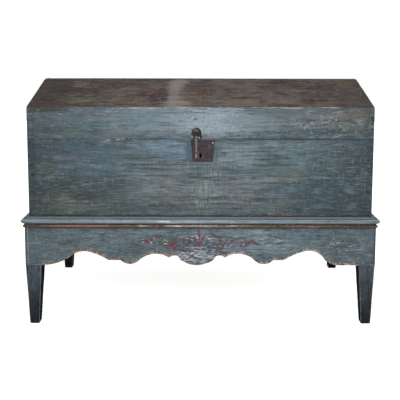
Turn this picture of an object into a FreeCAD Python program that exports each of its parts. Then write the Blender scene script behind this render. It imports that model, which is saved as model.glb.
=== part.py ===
import FreeCAD, Part
import os
from math import cos, hypot, radians, sin, sqrt, tan

os.makedirs("parts", exist_ok=True)
V = FreeCAD.Vector

# A painted coffer on a joined stand. Millimetres, +Z up, the front faces -Y.
# The origin is on the floor, under the centre of the whole chest's bounding box.

# ---------------------------------------------------------------- case
case_width = 1200.0
case_depth = 592.0
case_height = 297.5
board_thickness = 20.0
bottom_thickness = 14.0
bottom_board_count = 3
bottom_board_gap = 0.6
case_tail_count = 4
pin_width_inside = 16.0
pin_width_outside = 10.0

# ---------------------------------------------------------------- stand
stand_height = 365.5
frame_projection = 13.5
apron_thickness = 20.0
leg_line = 217.0  # height of the aprons' lower edge where they cover the legs
leg_top_width = 56.0
leg_foot_width = 34.0
leg_outer_taper = 8.0
foot_chamfer = 2.5
bearer_width = 60.0
bearer_height = 30.0
bearer_count = 3
bearer_end_distance = 210.0  # from the frame's end to the outer bearer's centre
bearer_tenon_length = 10.0
bearer_tenon_shoulder = 6.0
peg_radius = 4.0
peg_depth_in_post = 18.0
peg_edge_distance = 30.0
peg_stagger = 10.0  # how far the side pegs miss the front ones in the same post

# Scalloped edge of the front apron: distances from the pattern's centre, heights above the leg line
pattern_offset = -12.0
centre_lobe_half_width = 58.0
centre_lobe_rise = 19.0
step_width = 9.0
step_height = 13.0
notch_top_distance = 78.0
notch_top_height = 34.5
nib_distance = 98.0
nib_height = 27.0
small_arch_distance = 150.0
small_arch_height = 40.5
lobe_start_distance = 205.0
lobe_start_height = 15.0
lobe_distance = 236.0
lobe_height = 3.5
lobe_end_distance = 268.0
shoulder_height = 18.0
great_arch_crown_distance = 390.0

# The two great arches were sawn by eye: the right one ends in a short ogee and a long flat,
# the left one runs out in a long ogee. A bow is how far a side stands off its chord, as a share
# of half the chord.
right_shoulder_distance = 306.0
right_crown_height = 52.5
right_inner_bow = 0.11
right_outer_bow = 0.27
right_arch_end_height = 18.0
right_ogee_run = 37.0
right_ogee_belly_run = 15.0
right_ogee_belly_height = 8.0
right_leg_flat = 82.0
left_shoulder_distance = 311.0
left_crown_height = 50.0
left_inner_bow = 0.09
left_outer_bow = 0.19
left_arch_end_height = 27.0
left_ogee_run = 77.0
left_ogee_belly_run = 30.0
left_ogee_belly_height = 11.8
left_leg_flat = 20.0

# Side and back aprons
side_flat = 45.0
side_step_height = 20.0
side_step_run = 26.0
side_arch_rise = 34.0
back_apron_line = 264.0

# ---------------------------------------------------------------- rim moulding and bead
moulding_projection = 24.0
moulding_height = 24.0
ledge_drop = 7.0
ledge_step = 2.5
lip_height = 5.0
ledge_step_height = 1.0
ovolo_foot_projection = 16.0
ovolo_foot_height = 2.0
ovolo_fullness = 0.75  # share of the ovolo's width already reached at its middle
bead_radius = 5.5
bead_gap_below_moulding = 1.5

# ---------------------------------------------------------------- lid
lid_gap = 0.3
lid_front_height = 110.2  # from the seam to the sharp front edge of the top
lid_slope_degrees = 17.4
ridge_radius = 150.0
plank_thickness = 20.0
plank_edge_radius = 12.0
lid_tail_count = 2
rib_thickness = 22.0
rib_depth = 45.0
rib_end_distance = 390.0  # from the lid's end to the rib's middle

# ---------------------------------------------------------------- nails
nail_shank_radius = 1.6
nail_head_radius = 4.0
nail_head_height = 1.5
nail_head_top_radius = 2.4
nail_head_margin = 0.5
lid_nail_length = 42.0
lid_nail_edge = 45.0
bottom_nail_length = 42.0
bottom_nail_count = 5
strap_nail_length = 16.0

# ---------------------------------------------------------------- hinges
hinge_end_distance = 200.0  # from the case's end to the hinge's middle
strap_width = 40.0
strap_thickness = 3.0
knuckle_radius = 6.0
knuckle_standoff = 0.3
middle_knuckle_length = 16.0
knuckle_side_gap = 0.4
hinge_pin_radius = 3.0
pin_running_clearance = 0.05
pin_head_radius = 4.6
pin_head_length = 2.0
case_leaf_length = 170.0
lid_strap_reach = 130.0
leaf_nail_edge = 22.0

# ---------------------------------------------------------------- lock
lock_centre = 7.5
lock_top_width = 81.5
lock_bottom_width = 70.0
lock_plate_height = 75.0
lock_plate_drop = 3.6
lock_plate_thickness = 3.0
lock_nail_inset = 8.0
guard_centre = 0.5
guard_width = 21.0
guard_height = 30.0
guard_bar = 4.0
guard_rise = 3.0
guard_bottom_margin = 7.3
keyhole_width = 7.0
keyhole_height = 16.0
lock_box_width = 86.0
lock_box_left_reach = 28.7  # from the hasp's centre to the box's left side
lock_box_height = 56.0
lock_box_depth = 22.0
lock_box_wall = 2.0
lock_box_flange = 12.0

# ---------------------------------------------------------------- hasp and bolt
hasp_centre = -15.0
hasp_width = 9.5
hasp_thickness = 3.0
hasp_length = 73.0
hasp_clearance = 0.5
hasp_knuckle_radius = 4.5
hasp_pin_radius = 2.0
hasp_axis_above_seam = 7.0
hasp_plate_width = 35.0
hasp_plate_height = 27.0
hasp_plate_hole_radius = 6.0
loop_top_below_axis = 42.0
loop_height = 15.0
loop_bar = 4.0
loop_slot_clearance = 2.5
bolt_thickness = 6.0
bolt_length = 40.0
bolt_travel = 14.0
bolt_clearance = 0.3

# ---------------------------------------------------------------- derived places
half_width = case_width / 2
rib_distance = half_width - rib_end_distance
hinge_distance = half_width - hinge_end_distance
hinge_projection = knuckle_standoff + 2 * knuckle_radius
back_projection = max(frame_projection, hinge_projection)
overall_depth = moulding_projection + case_depth + back_projection
front = -overall_depth / 2 + moulding_projection
back = front + case_depth
case_top = stand_height + case_height
lid_bottom = case_top + lid_gap
lid_edge_top = lid_bottom + lid_front_height
slope = radians(lid_slope_degrees)
middle = (front + back) / 2
frame_half_width = half_width + frame_projection
frame_front = front - frame_projection
frame_back = back + frame_projection
inner_front = front + board_thickness
inner_back = back - board_thickness
inner_half_width = half_width - board_thickness
ridge_centre_height = (lid_edge_top + tan(slope) * (case_depth / 2 - ridge_radius * sin(slope))
                       - ridge_radius * cos(slope))
hinge_axis_y = back + knuckle_standoff + knuckle_radius
hinge_axis_z = case_top + lid_gap / 2
plate_face = front - lock_plate_thickness
hasp_back = plate_face - hasp_clearance
hasp_axis_z = lid_bottom + hasp_axis_above_seam
hasp_axis_y = front - hasp_clearance - hasp_knuckle_radius
loop_top = hasp_axis_z - loop_top_below_axis
loop_bottom = loop_top - loop_height
loop_inner_end = inner_front + bolt_thickness + 2 * bolt_clearance + loop_bar
loop_swing_radius = hypot(hasp_axis_z - loop_bottom, loop_inner_end - hasp_axis_y)
bolt_middle_z = (loop_top + loop_bottom) / 2
bolt_height = loop_height - 2 * (loop_bar + bolt_clearance)
bolt_rest = hasp_centre + loop_bar / 2 + loop_slot_clearance
pin_overshoot = pin_head_length + knuckle_side_gap
rim_cutter_height = 3 * moulding_height  # reaches past the rim and the bead
edge_tolerance = 0.1


# ---------------------------------------------------------------- helpers
def block(x0, x1, y0, y1, z0, z1):
    """A plain rectangular solid between two corners."""
    return Part.makeBox(x1 - x0, y1 - y0, z1 - z0, V(x0, y0, z0))


def fuse(shapes):
    """One solid from overlapping or touching shapes."""
    return shapes[0].multiFuse(shapes[1:]).removeSplitter()


def group(shapes):
    """Separate solids kept together in one node."""
    return Part.makeCompound(shapes)


def line(p, q):
    """A straight edge."""
    return Part.LineSegment(p, q).toShape()


def arc(p, through, q):
    """A round edge through three points."""
    return Part.Arc(p, through, q).toShape()


def extrude_outline(edges, direction):
    """A solid swept straight from a closed outline."""
    return Part.Face(Part.Wire(edges)).extrude(direction)


def polygon(points):
    """The edges of a closed polygon."""
    return Part.makePolygon(points + points[:1]).Edges


def rod(radius, start, end):
    """A round bar from one point to another."""
    axis = end - start
    return Part.makeCylinder(radius, axis.Length, start, axis)


def mirrored_x(shape):
    """The same shape on the other side of the YZ plane."""
    return shape.mirror(V(0, 0, 0), V(1, 0, 0))


def mirrored_y(shape):
    """The same shape on the other side of the chest's middle depth."""
    return shape.mirror(V(0, middle, 0), V(0, 1, 0))


def nail(point, outward, length):
    """A forged nail: a low faceted head on the surface at point and a round shank driven inwards."""
    head = Part.makeCone(nail_head_radius, nail_head_top_radius, nail_head_height, point, outward)
    shank = rod(nail_shank_radius, point, point - outward * length)
    return fuse([head, shank])


def sunk_nail(point, outward, length):
    """A nail whose head is driven flush with the wood at point."""
    head = Part.makeCone(nail_head_radius, nail_shank_radius, nail_head_height, point, -outward)
    shank = rod(nail_shank_radius, point, point - outward * length)
    return fuse([head, shank])


def export(shape, name):
    """Writes one node."""
    shape.exportStep("parts/" + name + ".step")


# ---------------------------------------------------------------- stand
def leg():
    """The front right leg: a tapered foot below the aprons and a square post in the corner behind them."""
    outer_x = frame_half_width
    outer_y = frame_front
    foot_x = outer_x - leg_outer_taper
    foot_y = outer_y + leg_outer_taper
    foot = Part.makePolygon([
        V(foot_x, foot_y, 0),
        V(foot_x - leg_foot_width, foot_y, 0),
        V(foot_x - leg_foot_width, foot_y + leg_foot_width, 0),
        V(foot_x, foot_y + leg_foot_width, 0),
        V(foot_x, foot_y, 0),
    ])
    top = Part.makePolygon([
        V(outer_x, outer_y, leg_line),
        V(outer_x - leg_top_width, outer_y, leg_line),
        V(outer_x - leg_top_width, outer_y + leg_top_width, leg_line),
        V(outer_x, outer_y + leg_top_width, leg_line),
        V(outer_x, outer_y, leg_line),
    ])
    lower = Part.makeLoft([foot, top], True, True)
    sole_edges = [e for e in lower.Edges if e.BoundBox.ZMax < foot_chamfer]
    lower = lower.makeChamfer(foot_chamfer, sole_edges)
    post = block(outer_x - leg_top_width, outer_x - apron_thickness,
                 outer_y + apron_thickness, outer_y + leg_top_width, leg_line, stand_height)
    return fuse([lower, post])


def peg_starts():
    """Outer ends and inward directions of all the pegs: two in each apron end, staggered at the corner."""
    across = frame_half_width - (leg_top_width + apron_thickness) / 2
    along = frame_front + (leg_top_width + apron_thickness) / 2
    high = stand_height - peg_edge_distance
    low = leg_line + peg_edge_distance
    starts = []
    for side in (-1, 1):
        for z in (low, high):
            starts.append((V(side * across, frame_front, z), V(0, 1, 0)))
            starts.append((V(side * across, frame_back, z), V(0, -1, 0)))
        for z in (low + peg_stagger, high - peg_stagger):
            starts.append((V(side * frame_half_width, along, z), V(-side, 0, 0)))
            starts.append((V(side * frame_half_width, 2 * middle - along, z), V(-side, 0, 0)))
    return starts


def leg_pegs():
    """Round wooden pegs through the aprons into the leg posts."""
    length = apron_thickness + peg_depth_in_post
    return group([rod(peg_radius, start, start + inward * length) for start, inward in peg_starts()])


def scallop_inner(at, shoulder_distance):
    """Edges of half of the front apron's lower edge, from the pattern's centre to the arch's shoulder.

    at(distance, height) places a point, so the same list serves both halves.
    """
    step_top = centre_lobe_rise + step_height
    lobe_radius = (centre_lobe_half_width ** 2 + centre_lobe_rise ** 2) / (2 * centre_lobe_rise)
    through = centre_lobe_half_width / 2
    through_height = lobe_radius - sqrt(lobe_radius ** 2 - through ** 2)
    return [
        arc(at(0, 0), at(through, through_height), at(centre_lobe_half_width, centre_lobe_rise)),
        line(at(centre_lobe_half_width, centre_lobe_rise), at(centre_lobe_half_width + step_width, step_top)),
        arc(at(centre_lobe_half_width + step_width, step_top),
            at(notch_top_distance, notch_top_height), at(nib_distance, nib_height)),
        arc(at(nib_distance, nib_height),
            at(small_arch_distance, small_arch_height), at(lobe_start_distance, lobe_start_height)),
        arc(at(lobe_start_distance, lobe_start_height),
            at(lobe_distance, lobe_height), at(lobe_end_distance, shoulder_height)),
        line(at(lobe_end_distance, shoulder_height), at(shoulder_distance, shoulder_height)),
    ]


def bowed(at, start, end, bow):
    """An arc between two (distance, height) pairs that stands off its chord."""
    across = (end[0] - start[0]) / 2
    up = (end[1] - start[1]) / 2
    return arc(at(*start), at(start[0] + across - bow * up, start[1] + up + bow * across), at(*end))


def right_arch(at, outer):
    """Edges of the right great arch, from its shoulder to the flat beside the leg."""
    crown = (great_arch_crown_distance, right_crown_height)
    end = outer - right_ogee_run
    belly = at(end + right_ogee_belly_run, right_ogee_belly_height)
    return [
        bowed(at, (right_shoulder_distance, shoulder_height), crown, right_inner_bow),
        bowed(at, crown, (end, right_arch_end_height), right_outer_bow),
        arc(at(end, right_arch_end_height), belly, at(outer, 0)),
    ]


def left_arch(at, outer):
    """Edges of the left great arch, from its shoulder to the short flat beside the leg."""
    crown = (great_arch_crown_distance, left_crown_height)
    end = outer - left_ogee_run
    belly = at(end + left_ogee_belly_run, left_ogee_belly_height)
    return [
        bowed(at, (left_shoulder_distance, shoulder_height), crown, left_inner_bow),
        bowed(at, crown, (end, left_arch_end_height), left_outer_bow),
        arc(at(end, left_arch_end_height), belly, at(outer, 0)),
    ]


def bearer_places():
    """X of each cross bearer, evenly about the centre."""
    outermost = frame_half_width - bearer_end_distance
    spacing = 2 * outermost / (bearer_count - 1)
    return [-outermost + spacing * i for i in range(bearer_count)]


def bearer(x):
    """A cross bearer with a stub tenon in each apron."""
    z0 = stand_height - bearer_height
    y0 = frame_front + apron_thickness
    y1 = frame_back - apron_thickness
    body = block(x - bearer_width / 2, x + bearer_width / 2, y0, y1, z0, stand_height)
    tenon = block(x - bearer_width / 2 + bearer_tenon_shoulder, x + bearer_width / 2 - bearer_tenon_shoulder,
                  y0 - bearer_tenon_length, y1 + bearer_tenon_length,
                  z0 + bearer_tenon_shoulder, stand_height - bearer_tenon_shoulder)
    return fuse([body, tenon])


def front_apron(bearers, pegs):
    """The scalloped front board of the stand, lapping over both front legs."""
    y = frame_front

    def left(distance, above):
        return V(pattern_offset - distance, y, leg_line + above)

    def right(distance, above):
        return V(pattern_offset + distance, y, leg_line + above)

    inner_edge = frame_half_width - leg_top_width
    left_end = inner_edge + pattern_offset - left_leg_flat
    right_end = inner_edge - pattern_offset - right_leg_flat
    edges = scallop_inner(left, left_shoulder_distance) + left_arch(left, left_end)
    edges += scallop_inner(right, right_shoulder_distance) + right_arch(right, right_end)
    edges += [
        line(right(right_end, 0), V(frame_half_width, y, leg_line)),
        line(V(frame_half_width, y, leg_line), V(frame_half_width, y, stand_height)),
        line(V(frame_half_width, y, stand_height), V(-frame_half_width, y, stand_height)),
        line(V(-frame_half_width, y, stand_height), V(-frame_half_width, y, leg_line)),
        line(V(-frame_half_width, y, leg_line), left(left_end, 0)),
    ]
    board = extrude_outline(Part.__sortEdges__(edges), V(0, apron_thickness, 0))
    return board.cut(group(bearers + [pegs]))


def side_apron(pegs):
    """The right apron, between the front and back aprons, with one stepped arch."""
    x = frame_half_width
    y0 = frame_front + apron_thickness
    y1 = frame_back - apron_thickness
    first = frame_front + leg_top_width + side_flat
    last = frame_back - leg_top_width - side_flat
    step = leg_line + side_step_height
    crown = step + side_arch_rise
    edges = [
        line(V(x, y0, leg_line), V(x, first, leg_line)),
        line(V(x, first, leg_line), V(x, first, step)),
        line(V(x, first, step), V(x, first + side_step_run, step)),
        arc(V(x, first + side_step_run, step),
            V(x, (first + last) / 2, crown),
            V(x, last - side_step_run, step)),
        line(V(x, last - side_step_run, step), V(x, last, step)),
        line(V(x, last, step), V(x, last, leg_line)),
        line(V(x, last, leg_line), V(x, y1, leg_line)),
        line(V(x, y1, leg_line), V(x, y1, stand_height)),
        line(V(x, y1, stand_height), V(x, y0, stand_height)),
        line(V(x, y0, stand_height), V(x, y0, leg_line)),
    ]
    return extrude_outline(edges, V(-apron_thickness, 0, 0)).cut(pegs)


def back_apron(bearers, pegs):
    """The plain back board of the stand, deeper where it covers the legs."""
    y0 = frame_back - apron_thickness
    lap = leg_top_width
    board = block(-frame_half_width, frame_half_width, y0, frame_back, leg_line, stand_height)
    clear = block(-frame_half_width + lap, frame_half_width - lap, y0, frame_back, leg_line, back_apron_line)
    return board.cut(group([clear] + bearers + [pegs]))


# ---------------------------------------------------------------- rim
def moulding_outline(place):
    """The rim's section: a sloped ledge, a small step, an upright lip and an ovolo under it.

    place(projection, height) puts a point of the section, height counted from the stand's top.
    """
    ledge_edge = moulding_height - ledge_drop
    lip_top = ledge_edge - ledge_step_height
    lip_bottom = lip_top - lip_height
    bulge = (moulding_projection - ovolo_foot_projection) * ovolo_fullness
    bulge_height = (ovolo_foot_height + lip_bottom) / 2
    return [
        line(place(0, 0), place(frame_projection, 0)),
        line(place(frame_projection, 0), place(ovolo_foot_projection, ovolo_foot_height)),
        arc(place(ovolo_foot_projection, ovolo_foot_height),
            place(ovolo_foot_projection + bulge, bulge_height), place(moulding_projection, lip_bottom)),
        line(place(moulding_projection, lip_bottom), place(moulding_projection, lip_top)),
        line(place(moulding_projection, lip_top), place(moulding_projection - ledge_step, ledge_edge)),
        line(place(moulding_projection - ledge_step, ledge_edge), place(0, moulding_height)),
        line(place(0, moulding_height), place(0, 0)),
    ]


def bead_outline(place):
    """A half-round bead on the frame's face, under the rim."""
    top = -bead_gap_below_moulding
    centre = top - bead_radius
    bottom = centre - bead_radius
    return [
        arc(place(frame_projection, top), place(frame_projection + bead_radius, centre),
            place(frame_projection, bottom)),
        line(place(frame_projection, bottom), place(frame_projection, top)),
    ]


def mitre_wedge(reach):
    """A tall prism over the right side run at the front right corner, outside the mitre line."""
    z0 = stand_height - moulding_height
    corner = [
        V(half_width - reach, front + reach, z0),
        V(half_width + 2 * reach, front - 2 * reach, z0),
        V(half_width + 2 * reach, front + reach, z0),
    ]
    return extrude_outline(polygon(corner), V(0, 0, rim_cutter_height))


def rim_front(outline):
    """A front run of the rim or bead, mitred at both ends."""
    reach = moulding_projection + 1

    def place(projection, height):
        return V(-half_width - reach, front - projection, stand_height + height)

    run = extrude_outline(outline(place), V(2 * (half_width + reach), 0, 0))
    wedge = mitre_wedge(reach)
    return run.cut(group([wedge, mirrored_x(wedge)]))


def rim_side(outline):
    """The right run of the rim or bead, mitred at the front and square at the back."""
    reach = moulding_projection + 1

    def place(projection, height):
        return V(half_width + projection, front - reach, stand_height + height)

    run = extrude_outline(outline(place), V(0, frame_back - front + reach, 0))
    z0 = stand_height - moulding_height
    keep = [
        V(half_width, front, z0),
        V(half_width + reach, front - reach, z0),
        V(half_width + reach, frame_back, z0),
        V(half_width, frame_back, z0),
    ]
    return run.common(extrude_outline(polygon(keep), V(0, 0, rim_cutter_height)))


# ---------------------------------------------------------------- case
def dovetail_pins(y0, y1, z0, z1, tail_count):
    """The right end board's pins through a front or back board: narrower outside, half pins at both ends."""
    pitch = (z1 - z0) / tail_count
    pins = []
    for i in range(tail_count + 1):
        z = z0 + i * pitch
        outline = polygon([
            V(inner_half_width, y0, z - pin_width_inside / 2),
            V(half_width, y0, z - pin_width_outside / 2),
            V(half_width, y0, z + pin_width_outside / 2),
            V(inner_half_width, y0, z + pin_width_inside / 2),
        ])
        pins.append(extrude_outline(outline, V(0, y1 - y0, 0)))
    zone = block(inner_half_width, half_width, y0, y1, z0, z1)
    return [pin.common(zone) for pin in pins]


def both_ends(shapes):
    """The shapes and their mirror images on the left."""
    return shapes + [mirrored_x(s) for s in shapes]


def bottom_nails():
    """Nails from outside, behind the rim, into the edges of the bottom boards."""
    z = stand_height + bottom_thickness / 2
    pitch = case_width / bottom_nail_count
    nails = []
    for i in range(bottom_nail_count):
        x = -half_width + pitch * (i + 0.5)
        nails.append(rod(nail_shank_radius, V(x, front, z), V(x, front + bottom_nail_length, z)))
        nails.append(rod(nail_shank_radius, V(x, back, z), V(x, back - bottom_nail_length, z)))
    return group(nails)


def case_wall(y0, y1, cutters):
    """A front or back board with its tails and the holes that the cutters make."""
    pins = both_ends(dovetail_pins(y0, y1, stand_height, case_top, case_tail_count))
    return block(-half_width, half_width, y0, y1, stand_height, case_top).cut(group(pins + cutters))


def case_end():
    """The right end board with pins at the front and back."""
    board = block(inner_half_width, half_width, inner_front, inner_back, stand_height, case_top)
    pins = dovetail_pins(front, inner_front, stand_height, case_top, case_tail_count)
    pins += dovetail_pins(inner_back, back, stand_height, case_top, case_tail_count)
    return fuse([board] + pins)


def bottom_board(index, nails):
    """One of the boards of the case's floor, laid along its length."""
    room = inner_back - inner_front
    width = (room - (bottom_board_count - 1) * bottom_board_gap) / bottom_board_count
    y0 = inner_front + index * (width + bottom_board_gap)
    board = block(-inner_half_width, inner_half_width, y0, y0 + width,
                  stand_height, stand_height + bottom_thickness)
    return board.cut(nails)


# ---------------------------------------------------------------- lid
def lid_height(inward, inset):
    """Height of the lid's straight slope, or of a line inset below it, at a distance in from its face."""
    return lid_edge_top - inset / cos(slope) + tan(slope) * inward


def lid_curve(x, inset, start):
    """Edges of the lid's profile, inset square to it and ending start inside the front and back faces."""
    radius = ridge_radius - inset
    half = radius * sin(slope)
    tangent_z = ridge_centre_height + radius * cos(slope)
    p0 = V(x, front + start, lid_height(start, inset))
    p1 = V(x, middle - half, tangent_z)
    crown = V(x, middle, ridge_centre_height + radius)
    p2 = V(x, middle + half, tangent_z)
    p3 = V(x, back - start, lid_height(start, inset))
    return [line(p0, p1), arc(p1, crown, p2), line(p2, p3)]


def slope_nail(x, distance):
    """A nail through the front plank, at a distance in from the front face."""
    outward = V(0, -sin(slope), cos(slope))
    return sunk_nail(V(x, front + distance, lid_height(distance, 0)), outward, lid_nail_length)


def lid_nails():
    """Nails that hold the three planks on the end boards and ribs."""
    tangent = case_depth / 2 - ridge_radius * sin(slope)
    nails = []
    for x in (half_width - board_thickness / 2, rib_distance):
        slopes = [slope_nail(x, lid_nail_edge), slope_nail(x, tangent - lid_nail_edge)]
        slopes += [mirrored_y(n) for n in slopes]
        crown = sunk_nail(V(x, middle, ridge_centre_height + ridge_radius), V(0, 0, 1), lid_nail_length)
        nails += slopes + [crown]
    return both_ends(nails)


def slope_plank(nails):
    """The front plank of the top, with a rounded front arris."""
    x0 = -half_width
    tangent_y = middle - ridge_radius * sin(slope)
    under = ridge_radius - plank_thickness
    section = polygon([
        V(x0, front, lid_height(0, 0)),
        V(x0, tangent_y, ridge_centre_height + ridge_radius * cos(slope)),
        V(x0, middle - under * sin(slope), ridge_centre_height + under * cos(slope)),
        V(x0, front, lid_height(0, plank_thickness)),
    ])
    plank = extrude_outline(section, V(case_width, 0, 0))
    arris = [e for e in plank.Edges
             if e.BoundBox.XLength > half_width
             and abs(e.CenterOfMass.y - front) < edge_tolerance
             and abs(e.CenterOfMass.z - lid_edge_top) < edge_tolerance]
    return plank.makeFillet(plank_edge_radius, arris).cut(group(nails))


def ridge_plank(nails):
    """The rounded middle plank of the top."""
    x0 = -half_width
    upper = lid_curve(x0, 0, 0)[1]
    lower = lid_curve(x0, plank_thickness, 0)[1]
    ends = [line(upper.Vertexes[0].Point, lower.Vertexes[0].Point),
            line(upper.Vertexes[1].Point, lower.Vertexes[1].Point)]
    section = Part.__sortEdges__([upper, lower] + ends)
    return extrude_outline(section, V(case_width, 0, 0)).cut(group(nails))


def lid_front_board(cutters):
    """The lid's front board, bevelled on top to carry the plank."""
    x0 = -half_width
    section = polygon([
        V(x0, front, lid_bottom),
        V(x0, inner_front, lid_bottom),
        V(x0, inner_front, lid_height(board_thickness, plank_thickness)),
        V(x0, front, lid_height(0, plank_thickness)),
    ])
    top = lid_height(0, plank_thickness)
    pins = both_ends(dovetail_pins(front, inner_front, lid_bottom, top, lid_tail_count))
    return extrude_outline(section, V(case_width, 0, 0)).cut(group(pins + cutters))


def lid_end(nails):
    """The right end board of the lid, shaped to the underside of the planks."""
    top = lid_curve(inner_half_width, plank_thickness, board_thickness)
    low_front = V(inner_half_width, inner_front, lid_bottom)
    low_back = V(inner_half_width, inner_back, lid_bottom)
    edges = top + [line(top[2].Vertexes[1].Point, low_back), line(low_back, low_front),
                   line(low_front, top[0].Vertexes[0].Point)]
    board = extrude_outline(Part.__sortEdges__(edges), V(board_thickness, 0, 0))
    seat = lid_height(0, plank_thickness)
    pins = dovetail_pins(front, inner_front, lid_bottom, seat, lid_tail_count)
    pins += dovetail_pins(inner_back, back, lid_bottom, seat, lid_tail_count)
    return fuse([board] + pins).cut(group(nails))


def lid_rib(nails):
    """The right rib under the planks, an arched batten between the front and back boards."""
    x0 = rib_distance - rib_thickness / 2
    top = lid_curve(x0, plank_thickness, board_thickness)
    low = lid_curve(x0, plank_thickness + rib_depth, board_thickness)
    ends = [line(top[0].Vertexes[0].Point, low[0].Vertexes[0].Point),
            line(top[2].Vertexes[1].Point, low[2].Vertexes[1].Point)]
    rib = extrude_outline(Part.__sortEdges__(top + low + ends), V(rib_thickness, 0, 0))
    return rib.cut(group(nails))


# ---------------------------------------------------------------- hinges
def knuckle(x0, x1, y, z, radius, bore_radius):
    """A short hinge barrel along X."""
    return rod(radius, V(x0, y, z), V(x1, y, z)).cut(rod(bore_radius, V(x0, y, z), V(x1, y, z)))


def hinge_knuckle_ends():
    """Where the middle knuckle and the outer knuckles of the right hinge begin and end."""
    half = middle_knuckle_length / 2
    return (hinge_distance - strap_width / 2, hinge_distance - half - knuckle_side_gap,
            hinge_distance - half, hinge_distance + half,
            hinge_distance + half + knuckle_side_gap, hinge_distance + strap_width / 2)


def leaf_nails():
    """Nails of the right case leaf."""
    low = hinge_axis_z - case_leaf_length + leaf_nail_edge
    high = hinge_axis_z - 2 * leaf_nail_edge
    heights = (low, (low + high) / 2, high)
    face = back + strap_thickness
    return [nail(V(hinge_distance, face, z), V(0, 1, 0), strap_nail_length) for z in heights]


def case_leaf(nails):
    """The right hinge leaf on the back of the case, with the two outer knuckles."""
    x0, x1, _, _, x4, x5 = hinge_knuckle_ends()
    relief = knuckle_radius + 2 * knuckle_standoff
    plate_bottom = hinge_axis_z - case_leaf_length
    plate = block(x0, x5, back, back + strap_thickness, plate_bottom, hinge_axis_z - relief)
    tongues = [block(a, b, back, back + strap_thickness, hinge_axis_z - relief, hinge_axis_z)
               for a, b in ((x0, x1), (x4, x5))]
    barrels = [knuckle(a, b, hinge_axis_y, hinge_axis_z, knuckle_radius, hinge_pin_radius)
               for a, b in ((x0, x1), (x4, x5))]
    bore = rod(hinge_pin_radius, V(x0, hinge_axis_y, hinge_axis_z), V(x5, hinge_axis_y, hinge_axis_z))
    return fuse([plate] + tongues + barrels).cut(group([bore] + nails))


def strap_nails():
    """Nails of the right lid strap: two in the lid's back board, two in the rear plank."""
    face = back + strap_thickness
    upright = [nail(V(hinge_distance, face, z), V(0, 1, 0), strap_nail_length)
               for z in (hinge_axis_z + leaf_nail_edge, lid_edge_top - 2 * leaf_nail_edge)]
    outward = V(0, sin(slope), cos(slope))
    on_slope = []
    for distance in (leaf_nail_edge, lid_strap_reach - leaf_nail_edge):
        y = back - distance * cos(slope)
        z = lid_edge_top + distance * sin(slope)
        on_slope.append(nail(V(hinge_distance, y, z) + outward * strap_thickness, outward, strap_nail_length))
    return upright + on_slope


def lid_strap(nails):
    """The right lid strap: up the lid's back and over onto the rear plank, with the middle knuckle."""
    x0, _, x2, x3, _, x5 = hinge_knuckle_ends()
    t = strap_thickness
    relief = knuckle_radius + 2 * knuckle_standoff
    reach_y = back - lid_strap_reach * cos(slope)
    reach_z = lid_edge_top + lid_strap_reach * sin(slope)
    bend_z = lid_edge_top - t * tan(slope) + t / cos(slope)
    section = polygon([
        V(x0, back, hinge_axis_z + relief),
        V(x0, back + t, hinge_axis_z + relief),
        V(x0, back + t, bend_z),
        V(x0, reach_y + t * sin(slope), reach_z + t * cos(slope)),
        V(x0, reach_y, reach_z),
        V(x0, back, lid_edge_top),
    ])
    strap = extrude_outline(section, V(x5 - x0, 0, 0))
    tongue = block(x2, x3, back, back + t, hinge_axis_z, hinge_axis_z + relief)
    bore_radius = hinge_pin_radius + pin_running_clearance
    barrel = knuckle(x2, x3, hinge_axis_y, hinge_axis_z, knuckle_radius, bore_radius)
    bore = rod(bore_radius, V(x2, hinge_axis_y, hinge_axis_z), V(x3, hinge_axis_y, hinge_axis_z))
    return fuse([strap, tongue, barrel]).cut(group([bore] + nails))


def hinge_pin():
    """The right hinge pin, with a flat head at each end."""
    x0, _, _, _, _, x5 = hinge_knuckle_ends()
    y = hinge_axis_y
    z = hinge_axis_z
    return fuse([
        rod(hinge_pin_radius, V(x0 - pin_overshoot, y, z), V(x5 + pin_overshoot, y, z)),
        rod(pin_head_radius, V(x0 - pin_overshoot, y, z), V(x0 - knuckle_side_gap, y, z)),
        rod(pin_head_radius, V(x5 + knuckle_side_gap, y, z), V(x5 + pin_overshoot, y, z)),
    ])


# ---------------------------------------------------------------- lock
def lock_corners():
    """The lock plate's corners on the case front, from the top left, clockwise."""
    top = case_top - lock_plate_drop
    bottom = top - lock_plate_height
    return [V(lock_centre - lock_top_width / 2, front, top), V(lock_centre + lock_top_width / 2, front, top),
            V(lock_centre + lock_bottom_width / 2, front, bottom),
            V(lock_centre - lock_bottom_width / 2, front, bottom)]


def lock_nails():
    """A nail near each corner of the lock plate."""
    middle_point = V(lock_centre, front, case_top - lock_plate_drop - lock_plate_height / 2)
    nails = []
    for corner in lock_corners():
        inward_x = lock_nail_inset if corner.x < middle_point.x else -lock_nail_inset
        inward_z = lock_nail_inset if corner.z < middle_point.z else -lock_nail_inset
        point = V(corner.x + inward_x, plate_face, corner.z + inward_z)
        nails.append(nail(point, V(0, -1, 0), strap_nail_length))
    return nails


def guard_bottom():
    """Height of the keyhole guard's feet."""
    return case_top - lock_plate_drop - lock_plate_height + guard_bottom_margin


def arch_prism(half, height, bottom, y0, y1):
    """An upright slab with a round head, centred on the keyhole."""
    shoulder = bottom + height - half
    edges = [
        line(V(guard_centre - half, y0, bottom), V(guard_centre - half, y0, shoulder)),
        arc(V(guard_centre - half, y0, shoulder), V(guard_centre, y0, bottom + height),
            V(guard_centre + half, y0, shoulder)),
        line(V(guard_centre + half, y0, shoulder), V(guard_centre + half, y0, bottom)),
        line(V(guard_centre + half, y0, bottom), V(guard_centre - half, y0, bottom)),
    ]
    return extrude_outline(edges, V(0, y1 - y0, 0))


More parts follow.
